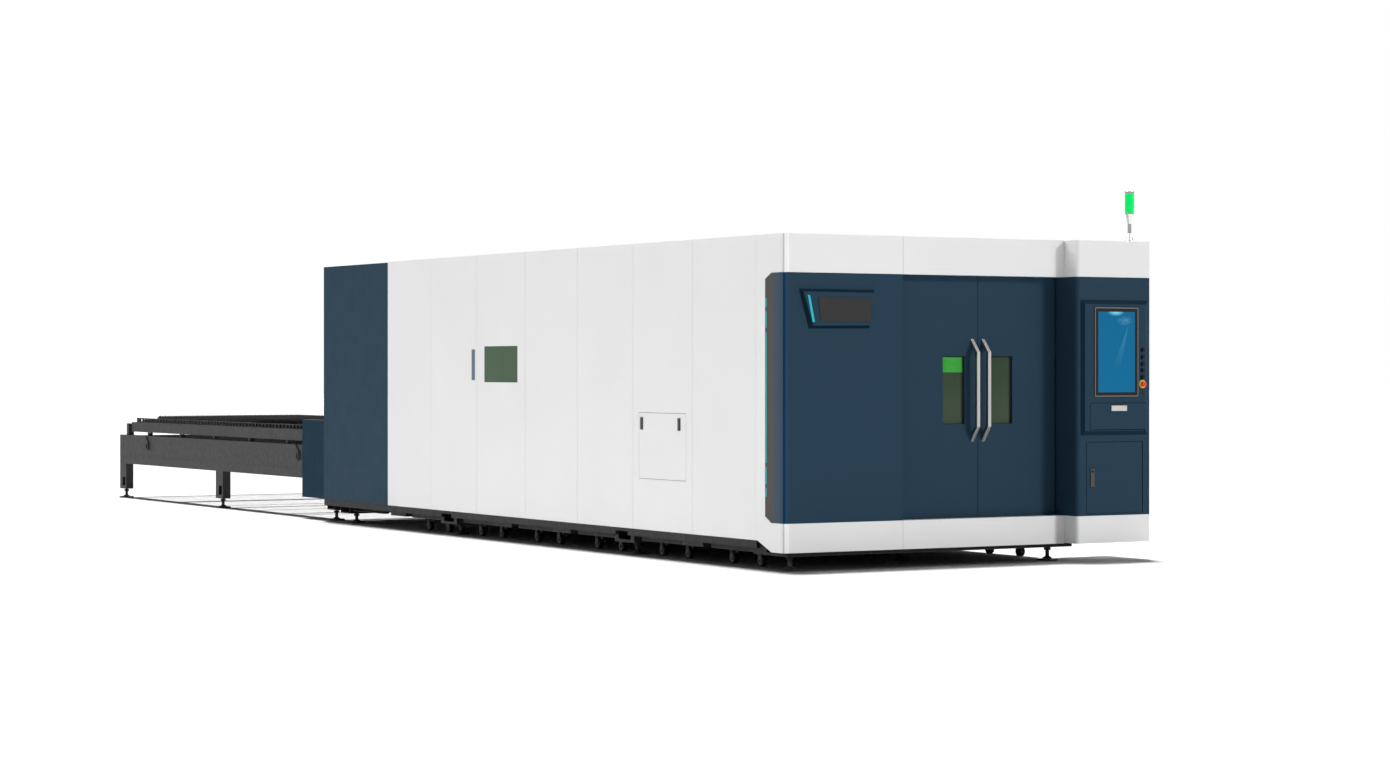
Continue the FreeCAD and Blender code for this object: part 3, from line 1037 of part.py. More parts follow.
# ---- hanging lift links on the table sides --------------------------------------------------------------
def lift_link(y):
    """Slanted arm on the side beam with a long ring hanging from its lower end."""
    x0, x1 = TABLE_X0 - LINK_OUT, TABLE_X0
    arm = side_plate([(y + 90, DECK), (y + 60, DECK), (y - 20, DECK - 75), (y + 15, DECK - 75)],
                     x1 - LINK_T, x1)
    link = side_plate([(y + 30, DECK - 60), (y - 30, DECK - 60), (y - 38, DECK - 130), (y, DECK - 150),
                       (y + 38, DECK - 130)], x0, x1 - LINK_T)
    hole = side_plate([(y + 12, DECK - 82), (y - 12, DECK - 82), (y - 18, DECK - 122), (y, DECK - 130),
                       (y + 18, DECK - 122)], x0 - 1, x1)
    return arm.fuse(link.cut(hole)).removeSplitter()


links = []
for along in LINK_AT:
    links += both(lift_link(TABLE_Y0 + along))
piece("lift_links", *links)


# ---- slag carts between the cross members ----------------------------------------------------------------
def slag_cart(y):
    """Shallow tray on six casters that rolls in from the side under the bed."""
    x0, x1 = CART_X0, BODY_W - CART_X1_IN
    body = tray([x0, x1, y - CART_HALF, y + CART_HALF, *CART_Z], 5, CART_WALL)
    parts = []
    wheels = []
    wheel_z = WHEEL_LIFT + WHEEL_R
    plate_z = CART_Z[0] - SWIVEL[2]
    wheel_x = [x0 + WHEEL_X0, (x0 + WHEEL_X0 + x1 - WHEEL_X1_IN) / 2, x1 - WHEEL_X1_IN]
    places = [(x, y + way * WHEEL_HALF) for way in (-1, 1) for x in wheel_x]
    half = WHEEL_W / 2 + WHEEL_SIDE
    for x, at in places:
        parts.append(box(x - SWIVEL[0] / 2, x + SWIVEL[0] / 2, at - SWIVEL[1] / 2, at + SWIVEL[1] / 2,
                         plate_z, CART_Z[0]))
        for side in (-1, 1):
            near, far = sorted((x + side * half, x + side * (half + FORK_T)))
            parts.append(box(near, far, at - FORK_W / 2, at + FORK_W / 2, wheel_z - FORK_DROP, plate_z))
            parts.append(rod((x + side * (half + FORK_T), at, wheel_z), (side, 0, 0), *AXLE_NUT))
        wheel = rod((x - WHEEL_W / 2, at, wheel_z), (1, 0, 0), WHEEL_R, WHEEL_W)
        wheel = wheel.makeFillet(WHEEL_ROUND, [e for e in wheel.Edges if e.BoundBox.XLength < 0.01])
        axle = rod((x - half, at, wheel_z), (1, 0, 0), AXLE_R, 2 * half)
        wheels.append(wheel.fuse(axle).removeSplitter())
    return [body.fuse(parts).removeSplitter()] + wheels


for number in range(1, CROSS_N + 1):
    centre = CROSS_FIRST + CROSS_MID + (number - 1.5) * CROSS_PITCH
    piece("slag_cart_%d" % number, *slag_cart(centre))

# ---- export: move the origin to the middle of the footprint ------------------------------------------------
everything = Part.makeCompound([solid for solids in PIECES.values() for solid in solids])
limits = everything.BoundBox
shift = V(-(limits.XMin + limits.XMax) / 2, -(limits.YMin + limits.YMax) / 2, 0)
os.makedirs("parts", exist_ok=True)
for name, solids in PIECES.items():
    shape = solids[0] if len(solids) == 1 else Part.makeCompound(solids)
    shape.translate(shift)
    shape.exportStep("parts/%s.step" % name)
print("pieces", len(PIECES), "solids", sum(len(s) for s in PIECES.values()))
print("size", limits.XLength, limits.YLength, limits.ZLength)
print("origin in the drawing frame", -shift.x, -shift.y, -shift.z)
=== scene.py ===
import math

import bpy
import numpy as np
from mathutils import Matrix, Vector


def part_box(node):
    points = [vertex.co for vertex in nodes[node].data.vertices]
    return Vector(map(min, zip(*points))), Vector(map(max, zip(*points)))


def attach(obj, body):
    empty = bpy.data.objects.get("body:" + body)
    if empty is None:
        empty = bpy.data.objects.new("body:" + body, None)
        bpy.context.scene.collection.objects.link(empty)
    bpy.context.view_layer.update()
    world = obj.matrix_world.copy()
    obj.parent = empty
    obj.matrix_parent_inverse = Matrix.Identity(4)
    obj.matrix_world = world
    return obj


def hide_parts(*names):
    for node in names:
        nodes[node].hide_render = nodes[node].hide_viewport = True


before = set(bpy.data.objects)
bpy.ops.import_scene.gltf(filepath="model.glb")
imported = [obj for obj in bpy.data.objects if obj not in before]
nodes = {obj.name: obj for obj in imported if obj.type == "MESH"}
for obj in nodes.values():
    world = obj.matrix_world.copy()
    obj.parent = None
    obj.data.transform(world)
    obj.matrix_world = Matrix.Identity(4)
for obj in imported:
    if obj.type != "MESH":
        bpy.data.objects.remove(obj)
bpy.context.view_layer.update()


# ---- camera ------------------------------------------------------------------------------------
# A level long-lens camera stands off the front left corner of the enclosure, at eye height,
# and looks along the long side as well as at the front.
LENS_MM = 78.06
SENSOR_MM = 36.0
FRAME_SHIFT = -0.0162
STAND_LEFT = 10.744        # from the enclosure's front left corner
STAND_AHEAD = 17.274
EYE_HEIGHT = 1.383
CAMERA_TURN = -30.19
corner_low, corner_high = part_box("corner_cover")
camera_data = bpy.data.cameras.new("camera")
camera_data.lens = LENS_MM
camera_data.sensor_width = SENSOR_MM
camera_data.shift_y = FRAME_SHIFT
camera_data.clip_end = 200.0
camera = bpy.data.objects.new("camera", camera_data)
camera.location = (corner_low.x - STAND_LEFT, corner_low.y - STAND_AHEAD, EYE_HEIGHT)
camera.rotation_euler = (math.radians(90.0), 0.0, math.radians(CAMERA_TURN))
scene = bpy.context.scene
scene.collection.objects.link(camera)
scene.camera = camera
scene.view_settings.view_transform = "Standard"

# ---- floor and studio light --------------------------------------------------------------------
# A plain pale floor on an even white background.  Broad soft lights stand at the left side, in
# front, overhead and behind, and one overhead light serves the floor alone, so that it stays
# white and the shadow under the machine stays deep.
DIM_SKY = 0.085            # what the sky gives to matt surfaces
SKY_LOW = 0.35             # what polished metal and glass mirror at the horizon
SKY_HIGH = 1.25            # and overhead
world = bpy.data.worlds.new("studio")
scene.world = world
world.use_nodes = True
sky = world.node_tree


def math_node(tree, operation, *values):
    """One arithmetic node; each value is a number or a socket."""
    node = tree.nodes.new("ShaderNodeMath")
    node.operation = operation
    for place, value in enumerate(values):
        if isinstance(value, (int, float)):
            node.inputs[place].default_value = value
        else:
            tree.links.new(value, node.inputs[place])
    return node.outputs[0]


direction = sky.nodes.new("ShaderNodeTexCoord")
height = sky.nodes.new("ShaderNodeSeparateXYZ")
rays = sky.nodes.new("ShaderNodeLightPath")
sky.links.new(direction.outputs["Generated"], height.inputs["Vector"])
mirrored = math_node(sky, "MULTIPLY_ADD", height.outputs["Z"], SKY_HIGH - SKY_LOW, SKY_LOW)
mirrored = math_node(sky, "MULTIPLY", mirrored, rays.outputs["Is Glossy Ray"])
matt = math_node(sky, "MAXIMUM", mirrored, DIM_SKY)
strength = math_node(sky, "MAXIMUM", matt, rays.outputs["Is Camera Ray"])
sky.links.new(strength, sky.nodes["Background"].inputs["Strength"])
sky.nodes["Background"].inputs["Color"].default_value = (1.0, 1.0, 1.0, 1.0)

FLOOR_HALF = 120.0
FLOOR_WHITE = (0.93, 0.93, 0.93)


def surface(u, v, shape):
    """Grid of points over two parameters: shape(U, V) gives X, Y and Z arrays, and every four
    neighbouring points make one face."""
    grid_u, grid_v = np.meshgrid(np.asarray(u, float), np.asarray(v, float), indexing="ij")
    points = np.stack(np.broadcast_arrays(*shape(grid_u, grid_v)), axis=-1).reshape(-1, 3)
    rows, columns = grid_u.shape
    index = np.arange(rows * columns).reshape(rows, columns)
    faces = np.stack([index[:-1, :-1], index[1:, :-1], index[1:, 1:], index[:-1, 1:]], axis=-1)
    return points, faces.reshape(-1, 4)


def weld(points, faces):
    """Join points that fall on each other.  A face with two joined corners becomes a triangle,
    and one that is closed to nothing is dropped."""
    keys = np.round(points / 1e-6).astype(np.int64)
    _, first, same = np.unique(keys, axis=0, return_index=True, return_inverse=True)
    faces = same.reshape(-1)[faces]
    doubled = faces == np.roll(faces, 1, axis=1)
    whole = faces[doubled.sum(axis=1) == 0]
    pinched = doubled.sum(axis=1) == 1
    triangles = faces[pinched][~doubled[pinched]].reshape(-1, 3)
    return points[first], whole.tolist() + triangles.tolist()


def make_piece(name, surfaces, body, material, smooth=40.0):
    """One mesh from several surfaces: their points and faces are put one after the other, the
    seams are welded, and the piece rides on a body of the model.  Edges are smooth up to the
    given angle between faces."""
    points, faces, start = [], [], 0
    for some_points, some_faces in surfaces:
        points.append(some_points)
        faces.append(some_faces + start)
        start += len(some_points)
    welded_points, welded_faces = weld(np.concatenate(points), np.concatenate(faces))
    mesh = bpy.data.meshes.new(name)
    mesh.from_pydata(welded_points.tolist(), [], welded_faces)
    mesh.update()
    obj = bpy.data.objects.new(name, mesh)
    scene.collection.objects.link(obj)
    mesh.materials.append(material)
    if smooth:
        mesh.shade_smooth()
        mesh.set_sharp_from_angle(angle=math.radians(smooth))
    if body:
        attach(obj, body)
    return obj


def blank_material(name):
    """Material with one Principled shader; returns the material, its tree and the shader."""
    material = bpy.data.materials.new(name)
    material.use_nodes = True
    tree = material.node_tree
    return material, tree, tree.nodes["Principled BSDF"]


def object_noise(tree, scale, detail=2.0, stretch=(1.0, 1.0, 1.0)):
    """Noise of the piece's own coordinates, each multiplied by its stretch and by the scale."""
    place = tree.nodes.new("ShaderNodeTexCoord")
    mapping = tree.nodes.new("ShaderNodeMapping")
    mapping.inputs["Scale"].default_value = stretch
    texture = tree.nodes.new("ShaderNodeTexNoise")
    texture.inputs["Scale"].default_value = scale
    texture.inputs["Detail"].default_value = detail
    tree.links.new(place.outputs["Object"], mapping.inputs["Vector"])
    tree.links.new(mapping.outputs["Vector"], texture.inputs["Vector"])
    return texture.outputs["Fac"]


def spread(tree, value, low, high):
    """Straight-line map of a noise value, 0.3 to 0.7, on to a working range."""
    node = tree.nodes.new("ShaderNodeMapRange")
    node.inputs["From Min"].default_value = 0.3
    node.inputs["From Max"].default_value = 0.7
    node.inputs["To Min"].default_value = low
    node.inputs["To Max"].default_value = high
    tree.links.new(value, node.inputs["Value"])
    return node.outputs["Result"]


def tint(tree, colour, factor):
    """Colour that is lightened or darkened by a factor socket."""
    node = tree.nodes.new("ShaderNodeVectorMath")
    node.operation = "SCALE"
    if isinstance(colour, tuple):
        node.inputs[0].default_value = colour[:3]
    else:
        tree.links.new(colour, node.inputs[0])
    tree.links.new(factor, node.inputs["Scale"])
    return node.outputs["Vector"]


floor_material, floor_tree, floor_shader = blank_material("floor_paint")
floor_tone = spread(floor_tree, object_noise(floor_tree, 0.6, 3.0), 0.985, 1.0)
floor_tree.links.new(tint(floor_tree, FLOOR_WHITE, floor_tone), floor_shader.inputs["Base Color"])
floor_shader.inputs["Roughness"].default_value = 0.9
floor_shader.inputs["Specular IOR Level"].default_value = 0.1
floor_span = np.linspace(-FLOOR_HALF, FLOOR_HALF, 3)
floor = make_piece("floor", [surface(floor_span, floor_span, lambda u, v: (u, v, 0 * u))], None,
                   floor_material, smooth=0)


def soft_sun(name, travel, strength, spread_deg, floor_only=False):
    """Even light that travels in one direction: it is tilted by the angle between that and
    straight down, and turned to the direction's compass angle.  It serves either the floor
    alone or everything but the floor."""
    data = bpy.data.lights.new(name, "SUN")
    data.energy = strength
    data.angle = math.radians(spread_deg)
    light = bpy.data.objects.new(name, data)
    flat = math.hypot(travel[0], travel[1])
    tilt = math.atan2(flat, -travel[2])
    light.rotation_euler = (tilt, 0.0, math.atan2(travel[1], travel[0]) - math.pi / 2.0)
    scene.collection.objects.link(light)
    served = bpy.data.collections.new(name + "_served")
    served.objects.link(floor)
    served.collection_objects[0].light_linking.link_state = "INCLUDE" if floor_only else "EXCLUDE"
    light.light_linking.receiver_collection = served


soft_sun("floor_light", (-0.045, -0.13, -1.0), 3.9, 6.0, floor_only=True)
soft_sun("side_light", (1.0, -0.35, -0.45), 1.39, 25.0)
soft_sun("front_light", (-0.6, 1.0, -0.5), 1.66, 12.0)
soft_sun("top_light", (0.0, 0.0, -1.0), 0.7, 60.0)
soft_sun("rear_light", (-0.7, -1.0, -0.5), 1.15, 40.0)


# ---- powder-coated sheet covers ----------------------------------------------------------------
# The covers are folded steel sheet with a powder coat: an even colour with a very fine orange
# peel.  The front's middle band and the rear box are navy and the rest is white.  Along the
# rounded folds a painted shade line runs beside a painted highlight, the fascia's and the badge's
# bevels carry painted shade, and the skirts' navy is darkened by painted shade.
WHITE = (0.745, 0.745, 0.748)
FOLD_SHADE_GREY = (0.52, 0.52, 0.53)            # painted shade line and painted highlight along the white fold
FOLD_HIGHLIGHT_WHITE = (0.90, 0.90, 0.90)
NAVY = (0.0160, 0.0405, 0.0675)
BEVEL_SHADE_NAVY = (0.0015, 0.0150, 0.0290)      # painted shade on the bevels of the fascia and of the badge
SKIRT_SHADE_NAVY = (0.0060, 0.0260, 0.0470)     # navy darkened by painted shade, for the inset skirts
STRIP_BLUE = (0.040, 0.070, 0.106)        # blue-grey of the corner strip
FOLD_SHADE_NAVY = (0.0005, 0.0300, 0.0740)      # painted shade line and painted highlight along the navy fold
FOLD_HIGHLIGHT_NAVY = (0.0190, 0.0560, 0.0980)
FOLD_FROM = 0.006                         # where the painted shade line of a fold starts, from the left side
NAVY_SHADE_TO = 0.017
NAVY_HIGHLIGHT_TO = 0.036
WHITE_SHADE_TO = 0.012
WHITE_HIGHLIGHT_TO = 0.040
COAT_ROUGH = 0.5
WHITE_SHINE = 0.15
ROOF_SHINE = 0.12
NAVY_SHINE = 0.06
SKIRT_SHINE = 0.03
PEEL_SCALE = 520.0


def bump(tree, shader, height, strength, distance):
    """Surface that rises by the distance, times the strength, where the height goes 0 to 1."""
    node = tree.nodes.new("ShaderNodeBump")
    node.inputs["Strength"].default_value = strength
    node.inputs["Distance"].default_value = distance
    tree.links.new(height, node.inputs["Height"])
    tree.links.new(node.outputs["Normal"], shader.inputs["Normal"])


def own_coordinate(tree, axis):
    """The piece's own X, Y or Z."""
    place = tree.nodes.new("ShaderNodeTexCoord")
    split = tree.nodes.new("ShaderNodeSeparateXYZ")
    tree.links.new(place.outputs["Object"], split.inputs["Vector"])
    return split.outputs[axis]


def axis_between(tree, axis, low, high):
    """1 where the piece's own coordinate lies between two limits, and 0 elsewhere."""
    place = own_coordinate(tree, axis)
    above = math_node(tree, "GREATER_THAN", place, low)
    return math_node(tree, "MULTIPLY", above, math_node(tree, "LESS_THAN", place, high))


def choose(tree, mask, outside, inside):
    """Mix of two colours: outside where the mask is 0, and inside where it is 1."""
    node = tree.nodes.new("ShaderNodeMix")
    node.data_type = "RGBA"
    for name, colour in (("A", outside), ("B", inside)):
        if isinstance(colour, tuple):
            node.inputs[name].default_value = (*colour, 1.0)
        else:
            tree.links.new(colour, node.inputs[name])
    tree.links.new(mask, node.inputs["Factor"])
    return node.outputs["Result"]


def sloped(tree):
    """1 on faces that slope away from the front plane, other than towards the right: the bevels that are
    given painted shade.
    """
    place = tree.nodes.new("ShaderNodeNewGeometry")
    split = tree.nodes.new("ShaderNodeSeparateXYZ")
    tree.links.new(place.outputs["True Normal"], split.inputs["Vector"])
    leaning = math_node(tree, "LESS_THAN", math_node(tree, "ABSOLUTE", split.outputs["Y"]), 0.97)
    return math_node(tree, "MULTIPLY", leaning, math_node(tree, "LESS_THAN", split.outputs["X"], 0.3))


def powder_coat(name, colour, specular, bands=(), bevel=None):
    """Powder coat: colour times a broad faint noise, roughness moved by a finer noise, and a
    bump of very fine noise.  Each band is (axis, low, high, colour) for a stretch in another
    colour, and bevel is the colour of painted shade on the sloped edges that do not face right."""
    material, tree, shader = blank_material(name)
    base = colour
    for axis, low, high, other in bands:
        base = choose(tree, axis_between(tree, axis, low, high), base, other)
    if bevel:
        base = choose(tree, sloped(tree), colour, bevel)
    tone = spread(tree, object_noise(tree, 1.3, 3.0), 0.97, 1.0)
    tree.links.new(tint(tree, base, tone), shader.inputs["Base Color"])
    tree.links.new(spread(tree, object_noise(tree, 7.0, 4.0), COAT_ROUGH - 0.04, COAT_ROUGH + 0.05),
                   shader.inputs["Roughness"])
    shader.inputs["Specular IOR Level"].default_value = specular
    bump(tree, shader, object_noise(tree, PEEL_SCALE), 0.12, 0.0006)
    return material


def dress(material, *names):
    """Give CAD pieces their finish."""
    for name in names:
        slots = nodes[name].data.materials
        slots.clear()
        slots.append(material)


panel_low, panel_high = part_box("front_panel")
rear_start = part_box("rear_side_panels")[0].y
fold_from = corner_low.x + FOLD_FROM
white_coat = powder_coat("white_powder_coat", WHITE, WHITE_SHINE)
# The corner cover carries a painted shade line and then a painted highlight along its rounded fold.
corner_coat_shade_and_highlight = powder_coat("corner_coat_painted_shade_and_highlight", WHITE, WHITE_SHINE, bands=(
    ("X", fold_from, corner_low.x + WHITE_SHADE_TO, FOLD_SHADE_GREY),
    ("X", corner_low.x + WHITE_SHADE_TO, corner_low.x + WHITE_HIGHLIGHT_TO, FOLD_HIGHLIGHT_WHITE),
))
roof_coat = powder_coat("roof_powder_coat", WHITE, ROOF_SHINE, bands=[
    ("Y", rear_start, rear_start + 5.0, NAVY),
])
cabinet_coat = powder_coat("cabinet_powder_coat", WHITE, NAVY_SHINE, bands=[
    ("Z", panel_low.z, panel_high.z, NAVY),
])
navy_coat = powder_coat("navy_powder_coat", NAVY, NAVY_SHINE)
# Navy with painted shade on the fascia's and the badge's bevels that do not face right.
bevel_shaded_coat = powder_coat("navy_coat_painted_bevel_shade", NAVY, NAVY_SHINE, bevel=BEVEL_SHADE_NAVY)
# The skirts' navy is darkened to paint in their shade.
skirt_shaded_coat = powder_coat("skirt_coat_painted_shade", SKIRT_SHADE_NAVY, SKIRT_SHINE)
# The front panel carries the corner strip's blue-grey, then a painted shade line and a painted highlight
# along its rounded fold.
folded_coat_shade_and_highlight = powder_coat("folded_navy_coat_painted_shade_and_highlight", NAVY, NAVY_SHINE, bands=(
    ("X", panel_low.x - 1.0, fold_from, STRIP_BLUE),
    ("X", fold_from, panel_low.x + NAVY_SHADE_TO, FOLD_SHADE_NAVY),
    ("X", panel_low.x + NAVY_SHADE_TO, panel_low.x + NAVY_HIGHLIGHT_TO, FOLD_HIGHLIGHT_NAVY),
))
dress(white_coat, "left_side_panels", "right_side_panels", "front_covers", "hatch")
dress(corner_coat_shade_and_highlight, "corner_cover")
dress(roof_coat, "roof_panels")
dress(cabinet_coat, "cabinet_shell")
dress(navy_coat, "rear_side_panels", "rear_wall", "door_left", "door_right", "keyboard_flap", "cabinet_door")
dress(bevel_shaded_coat, "cabinet_fascia", "badge_housing")
dress(skirt_shaded_coat, "rear_skirts")
dress(folded_coat_shade_and_highlight, "front_panel")

# ---- roof infill behind the front corner -------------------------------------------------------
# Two shallow white trays of folded sheet close the top of the front corner: one lies between the
# front cover and the first roof panel, and a narrow one runs beside that panel.
def closed_skin(loops):
    """Skin over a row of closed loops with equal counts, given as an array of loop, point and
    X, Y, Z.  The faces are turned round where the volume that they enclose comes out negative."""
    rows, count = loops.shape[:2]
    index = np.arange(rows * count).reshape(rows, count)
    ahead = np.roll(index, -1, axis=1)
    faces = np.stack([index[:-1], ahead[:-1], ahead[1:], index[1:]], axis=-1).reshape(-1, 4)
    points = loops.reshape(-1, 3)
    a, b, c, d = (points[faces[:, i]] - points.mean(axis=0) for i in range(4))
    volume = (np.cross(a, b) * c).sum() + (np.cross(a, c) * d).sum()
    return points, faces if volume > 0 else faces[:, ::-1]


def rounded_loop(half_a, half_b, radius, steps=6):
    """Corner centres, radii and outward directions round a rectangle whose corners are rounded
    with one radius, or with four: high-high, low-high, low-low and high-low."""
    quarter = np.linspace(0.0, np.pi / 2.0, steps)
    angle = (quarter[None, :] + np.pi / 2.0 * np.arange(4)[:, None]).ravel()
    sign_a = np.repeat([1.0, -1.0, -1.0, 1.0], steps)
    sign_b = np.repeat([1.0, 1.0, -1.0, -1.0], steps)
    radii = np.repeat(np.broadcast_to(radius, 4), steps)
    centre = np.stack([sign_a * (half_a - radii), sign_b * (half_b - radii)], axis=-1)
    return centre, radii[:, None], np.stack([np.cos(angle), np.sin(angle)], axis=-1)


def rimmed(low, high, normal, face, section, radius, filled=False):
    """Section carried round a rounded rectangle in the plane of the named normal axis.  Each
    section point is an outward offset from the rectangle and a place along the normal from the
    face.  A filled piece is closed at both ends of its section, and a ring joins them."""
    a, b = [axis for axis in (0, 1, 2) if axis != normal]
    section = np.asarray(section, float)
    centre, radii, outward = rounded_loop((high[a] - low[a]) / 2.0, (high[b] - low[b]) / 2.0, radius)
    flat = centre + (radii + section[:, None, :1]) * outward
    depth = section[:, 1]
    if filled:
        flat = np.concatenate([flat[:1] * 0.0, flat, flat[:1] * 0.0])
        depth = np.concatenate([depth[:1], depth, depth[-1:]])
    else:
        flat = np.concatenate([flat, flat[:1]])
        depth = np.concatenate([depth, depth[:1]])
    loops = np.zeros((*flat.shape[:2], 3))
    loops[..., a] = flat[..., 0] + (low[a] + high[a]) / 2.0
    loops[..., b] = flat[..., 1] + (low[b] + high[b]) / 2.0
    loops[..., normal] = face + depth[:, None]
    return closed_skin(loops)


INFILL = [(-0.0020, 0.0), (-0.0006, -0.0004), (0.0, -0.0020), (0.0, -0.0260), (-0.0030, -0.0260),
          (-0.0030, -0.0030)]
COVER_SHEET = 0.0035           # cover sheet with the gap beside it
INFILL_GAP = 0.0010            # to the roof panels
FOLD_RADIUS = 0.0040
CORNER_INSIDE = 0.0415         # inside radius of the rounded corner
roof_low, roof_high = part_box("roof_panels")
inside_x = corner_low.x + COVER_SHEET
inside_y = corner_low.y + COVER_SHEET
front_tray = rimmed((inside_x, inside_y, 0.0), (corner_high.x, roof_low.y - INFILL_GAP, 0.0), 2, roof_high.z,
                    INFILL, (FOLD_RADIUS, FOLD_RADIUS, CORNER_INSIDE, FOLD_RADIUS), filled=True)
side_tray = rimmed((inside_x, roof_low.y, 0.0), (roof_low.x - INFILL_GAP, corner_high.y, 0.0), 2, roof_high.z,
                   INFILL, FOLD_RADIUS, filled=True)
make_piece("front_roof_infill", [front_tray, side_tray], "machine", white_coat, smooth=30.0)


# ---- bed, base and exchange table steelwork ----------------------------------------------------
# Rectangular steel tube welded into frames.  The bed and the base are black, and the table
# and its pallets are mid grey, both in a satin paint over mill scale.
def steel_paint(name, colour, rough=0.5, bands=()):
    """Satin paint: colour times a faint noise, roughness moved by a finer noise, and a bump of
    fine noise.  Each band is (axis, low, high, colour) for a stretch in another colour."""
    material, tree, shader = blank_material(name)
    base = colour
    for axis, low, high, other in bands:
        base = choose(tree, axis_between(tree, axis, low, high), base, other)
    tone = spread(tree, object_noise(tree, 4.0, 5.0), 0.95, 1.03)
    tree.links.new(tint(tree, base, tone), shader.inputs["Base Color"])
    tree.links.new(spread(tree, object_noise(tree, 22.0, 5.0), rough - 0.07, rough + 0.1),
                   shader.inputs["Roughness"])
    shader.inputs["Specular IOR Level"].default_value = 0.12
    bump(tree, shader, object_noise(tree, 160.0, 4.0), 0.14, 0.0008)
    return material


machine_black = steel_paint("machine_black_paint", (0.024, 0.024, 0.025))
TABLE_GREY = (0.046, 0.046, 0.047)
table_grey = steel_paint("table_grey_paint", TABLE_GREY)
dress(machine_black, "bed_side_beams", "bed_cross_members", "base_rails", "enclosure_frame")
dress(table_grey, "table_frame", "pallet_rails")


# ---- toothed slats -----------------------------------------------------------------------------
# Laser-cut strips of mill-scale steel, stood on edge in the combs of the upper pallet:
# blue-black, with faint brown heat marks.
SLAT_COLOURS = ((0.020, 0.020, 0.022), (0.044, 0.040, 0.036))
slat_steel, slat_tree, slat_shader = blank_material("slat_mill_scale")
slat_tone = spread(slat_tree, object_noise(slat_tree, 14.0, 6.0), 0.0, 1.0)
slat_tree.links.new(choose(slat_tree, slat_tone, *SLAT_COLOURS), slat_shader.inputs["Base Color"])
slat_shader.inputs["Metallic"].default_value = 0.2
slat_shader.inputs["Specular IOR Level"].default_value = 0.2
slat_tree.links.new(spread(slat_tree, object_noise(slat_tree, 60.0, 4.0), 0.45, 0.7),
                    slat_shader.inputs["Roughness"])
bump(slat_tree, slat_shader, object_noise(slat_tree, 300.0, 5.0), 0.3, 0.0006)
dress(slat_steel, "upper_slats")


# ---- pallets: painted frames with comb strips and roller lugs ----------------------------------
# Each pallet is a welded tube frame.  A dark notched comb stands on its side beams to hold the
# slats, and small pale rollers in bolted lugs carry it underneath.
ROLLER_BAND = 0.0366       # height of the roller line under a pallet beam
BEAM_HEIGHT = 0.101
PAST_END = 0.01            # a band reaches this far past the piece
COMB_BLACK = (0.012, 0.012, 0.013)
ROLLER_GREY = (0.085, 0.085, 0.086)


def pallet_paint(name, node):
    """Table paint, with pale rollers under the beams and a black comb over them."""
    low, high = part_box(node)
    beam_foot = low.z + ROLLER_BAND
    return steel_paint(name, TABLE_GREY, bands=(
        ("Z", low.z - PAST_END, beam_foot, ROLLER_GREY),
        ("Z", beam_foot + BEAM_HEIGHT, high.z + PAST_END, COMB_BLACK),
    ))


dress(pallet_paint("upper_pallet_paint", "upper_pallet"), "upper_pallet")
dress(pallet_paint("lower_pallet_paint", "lower_pallet"), "lower_pallet")


# ---- rubber bumpers on the table's end stops ---------------------------------------------------
# Two moulded rubber buffers, screwed to the end stops of the table, that meet a pallet which
# is pushed out too far.
def turned(profile, centre, along, sides=24):
    """Profile of radius and height turned round an axis (0, 1 or 2) through the centre."""
    profile = np.asarray(profile, float)
    angle = np.linspace(0.0, 2.0 * np.pi, sides, endpoint=False)
    loops = np.zeros((len(profile), sides, 3))
    loops[..., (along + 1) % 3] = profile[:, :1] * np.cos(angle)
    loops[..., (along + 2) % 3] = profile[:, :1] * np.sin(angle)
    loops[..., along] = profile[:, 1:]
    return closed_skin(loops + np.asarray(centre, float))


BUMPER = [(0.0, -0.018), (0.010, -0.018), (0.016, -0.014), (0.019, -0.006), (0.020, 0.002), (0.0, 0.002)]
STOP_BEHIND = 0.040        # face of the end stops behind the pallet
STOP_IN = 0.040            # middle of a stop from the table's outer face
BUMPER_DOWN = 0.045        # bumper under the top of its stop
RUBBER_BLACK = (0.012, 0.012, 0.012)
black_rubber, rubber_tree, rubber_shader = blank_material("black_rubber")
rubber_tone = spread(rubber_tree, object_noise(rubber_tree, 60.0, 4.0), 0.85, 1.15)
rubber_tree.links.new(tint(rubber_tree, RUBBER_BLACK, rubber_tone), rubber_shader.inputs["Base Color"])
rubber_tree.links.new(spread(rubber_tree, object_noise(rubber_tree, 140.0, 2.0), 0.57, 0.70),
                      rubber_shader.inputs["Roughness"])
rubber_shader.inputs["Specular IOR Level"].default_value = 0.25
bump(rubber_tree, rubber_shader, object_noise(rubber_tree, 900.0, 3.0), 0.15, 0.0003)
table_low, table_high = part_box("table_frame")
table_x = (table_low.x + STOP_IN, table_high.x - STOP_IN)
stop_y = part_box("upper_pallet")[1].y + STOP_BEHIND
bumpers = [turned(BUMPER, (x, stop_y, table_high.z - BUMPER_DOWN), 1) for x in table_x]
make_piece("stop_bumpers", bumpers, "machine", black_rubber)

# ---- slag carts: rubber-tyred casters ----------------------------------------------------------
# Shallow painted trays on pressed-steel casters.  The wheels are black rubber on zinc-grey
# forks, and a pressed hub cap closes each wheel's bearing.
CASTER_ROW = (0.130, 0.037)    # outer wheel rows from the left and right ends of a tray
CASTER_SIDE = 0.190            # wheel rows from a cart's middle
WHEEL_AXLE_Z = 0.0385
WHEEL_HALF_W = 0.019
WHEEL_TOP = 0.0765
FORK_GREY = (0.060, 0.060, 0.062)
TYRE_BLACK = (0.010, 0.010, 0.010)
TRAY_BLACK = (0.020, 0.020, 0.021)
HUB = [(0.0, 0.0007), (0.009, 0.0007), (0.013, 0.0003), (0.022, 0.0003), (0.024, -0.0010), (0.0, -0.0010)]
hub_zinc = steel_paint("hub_zinc", (0.16, 0.16, 0.165), rough=0.38)
cart_low, cart_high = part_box("slag_cart_1")
tray_x = (cart_low.x, cart_high.x)
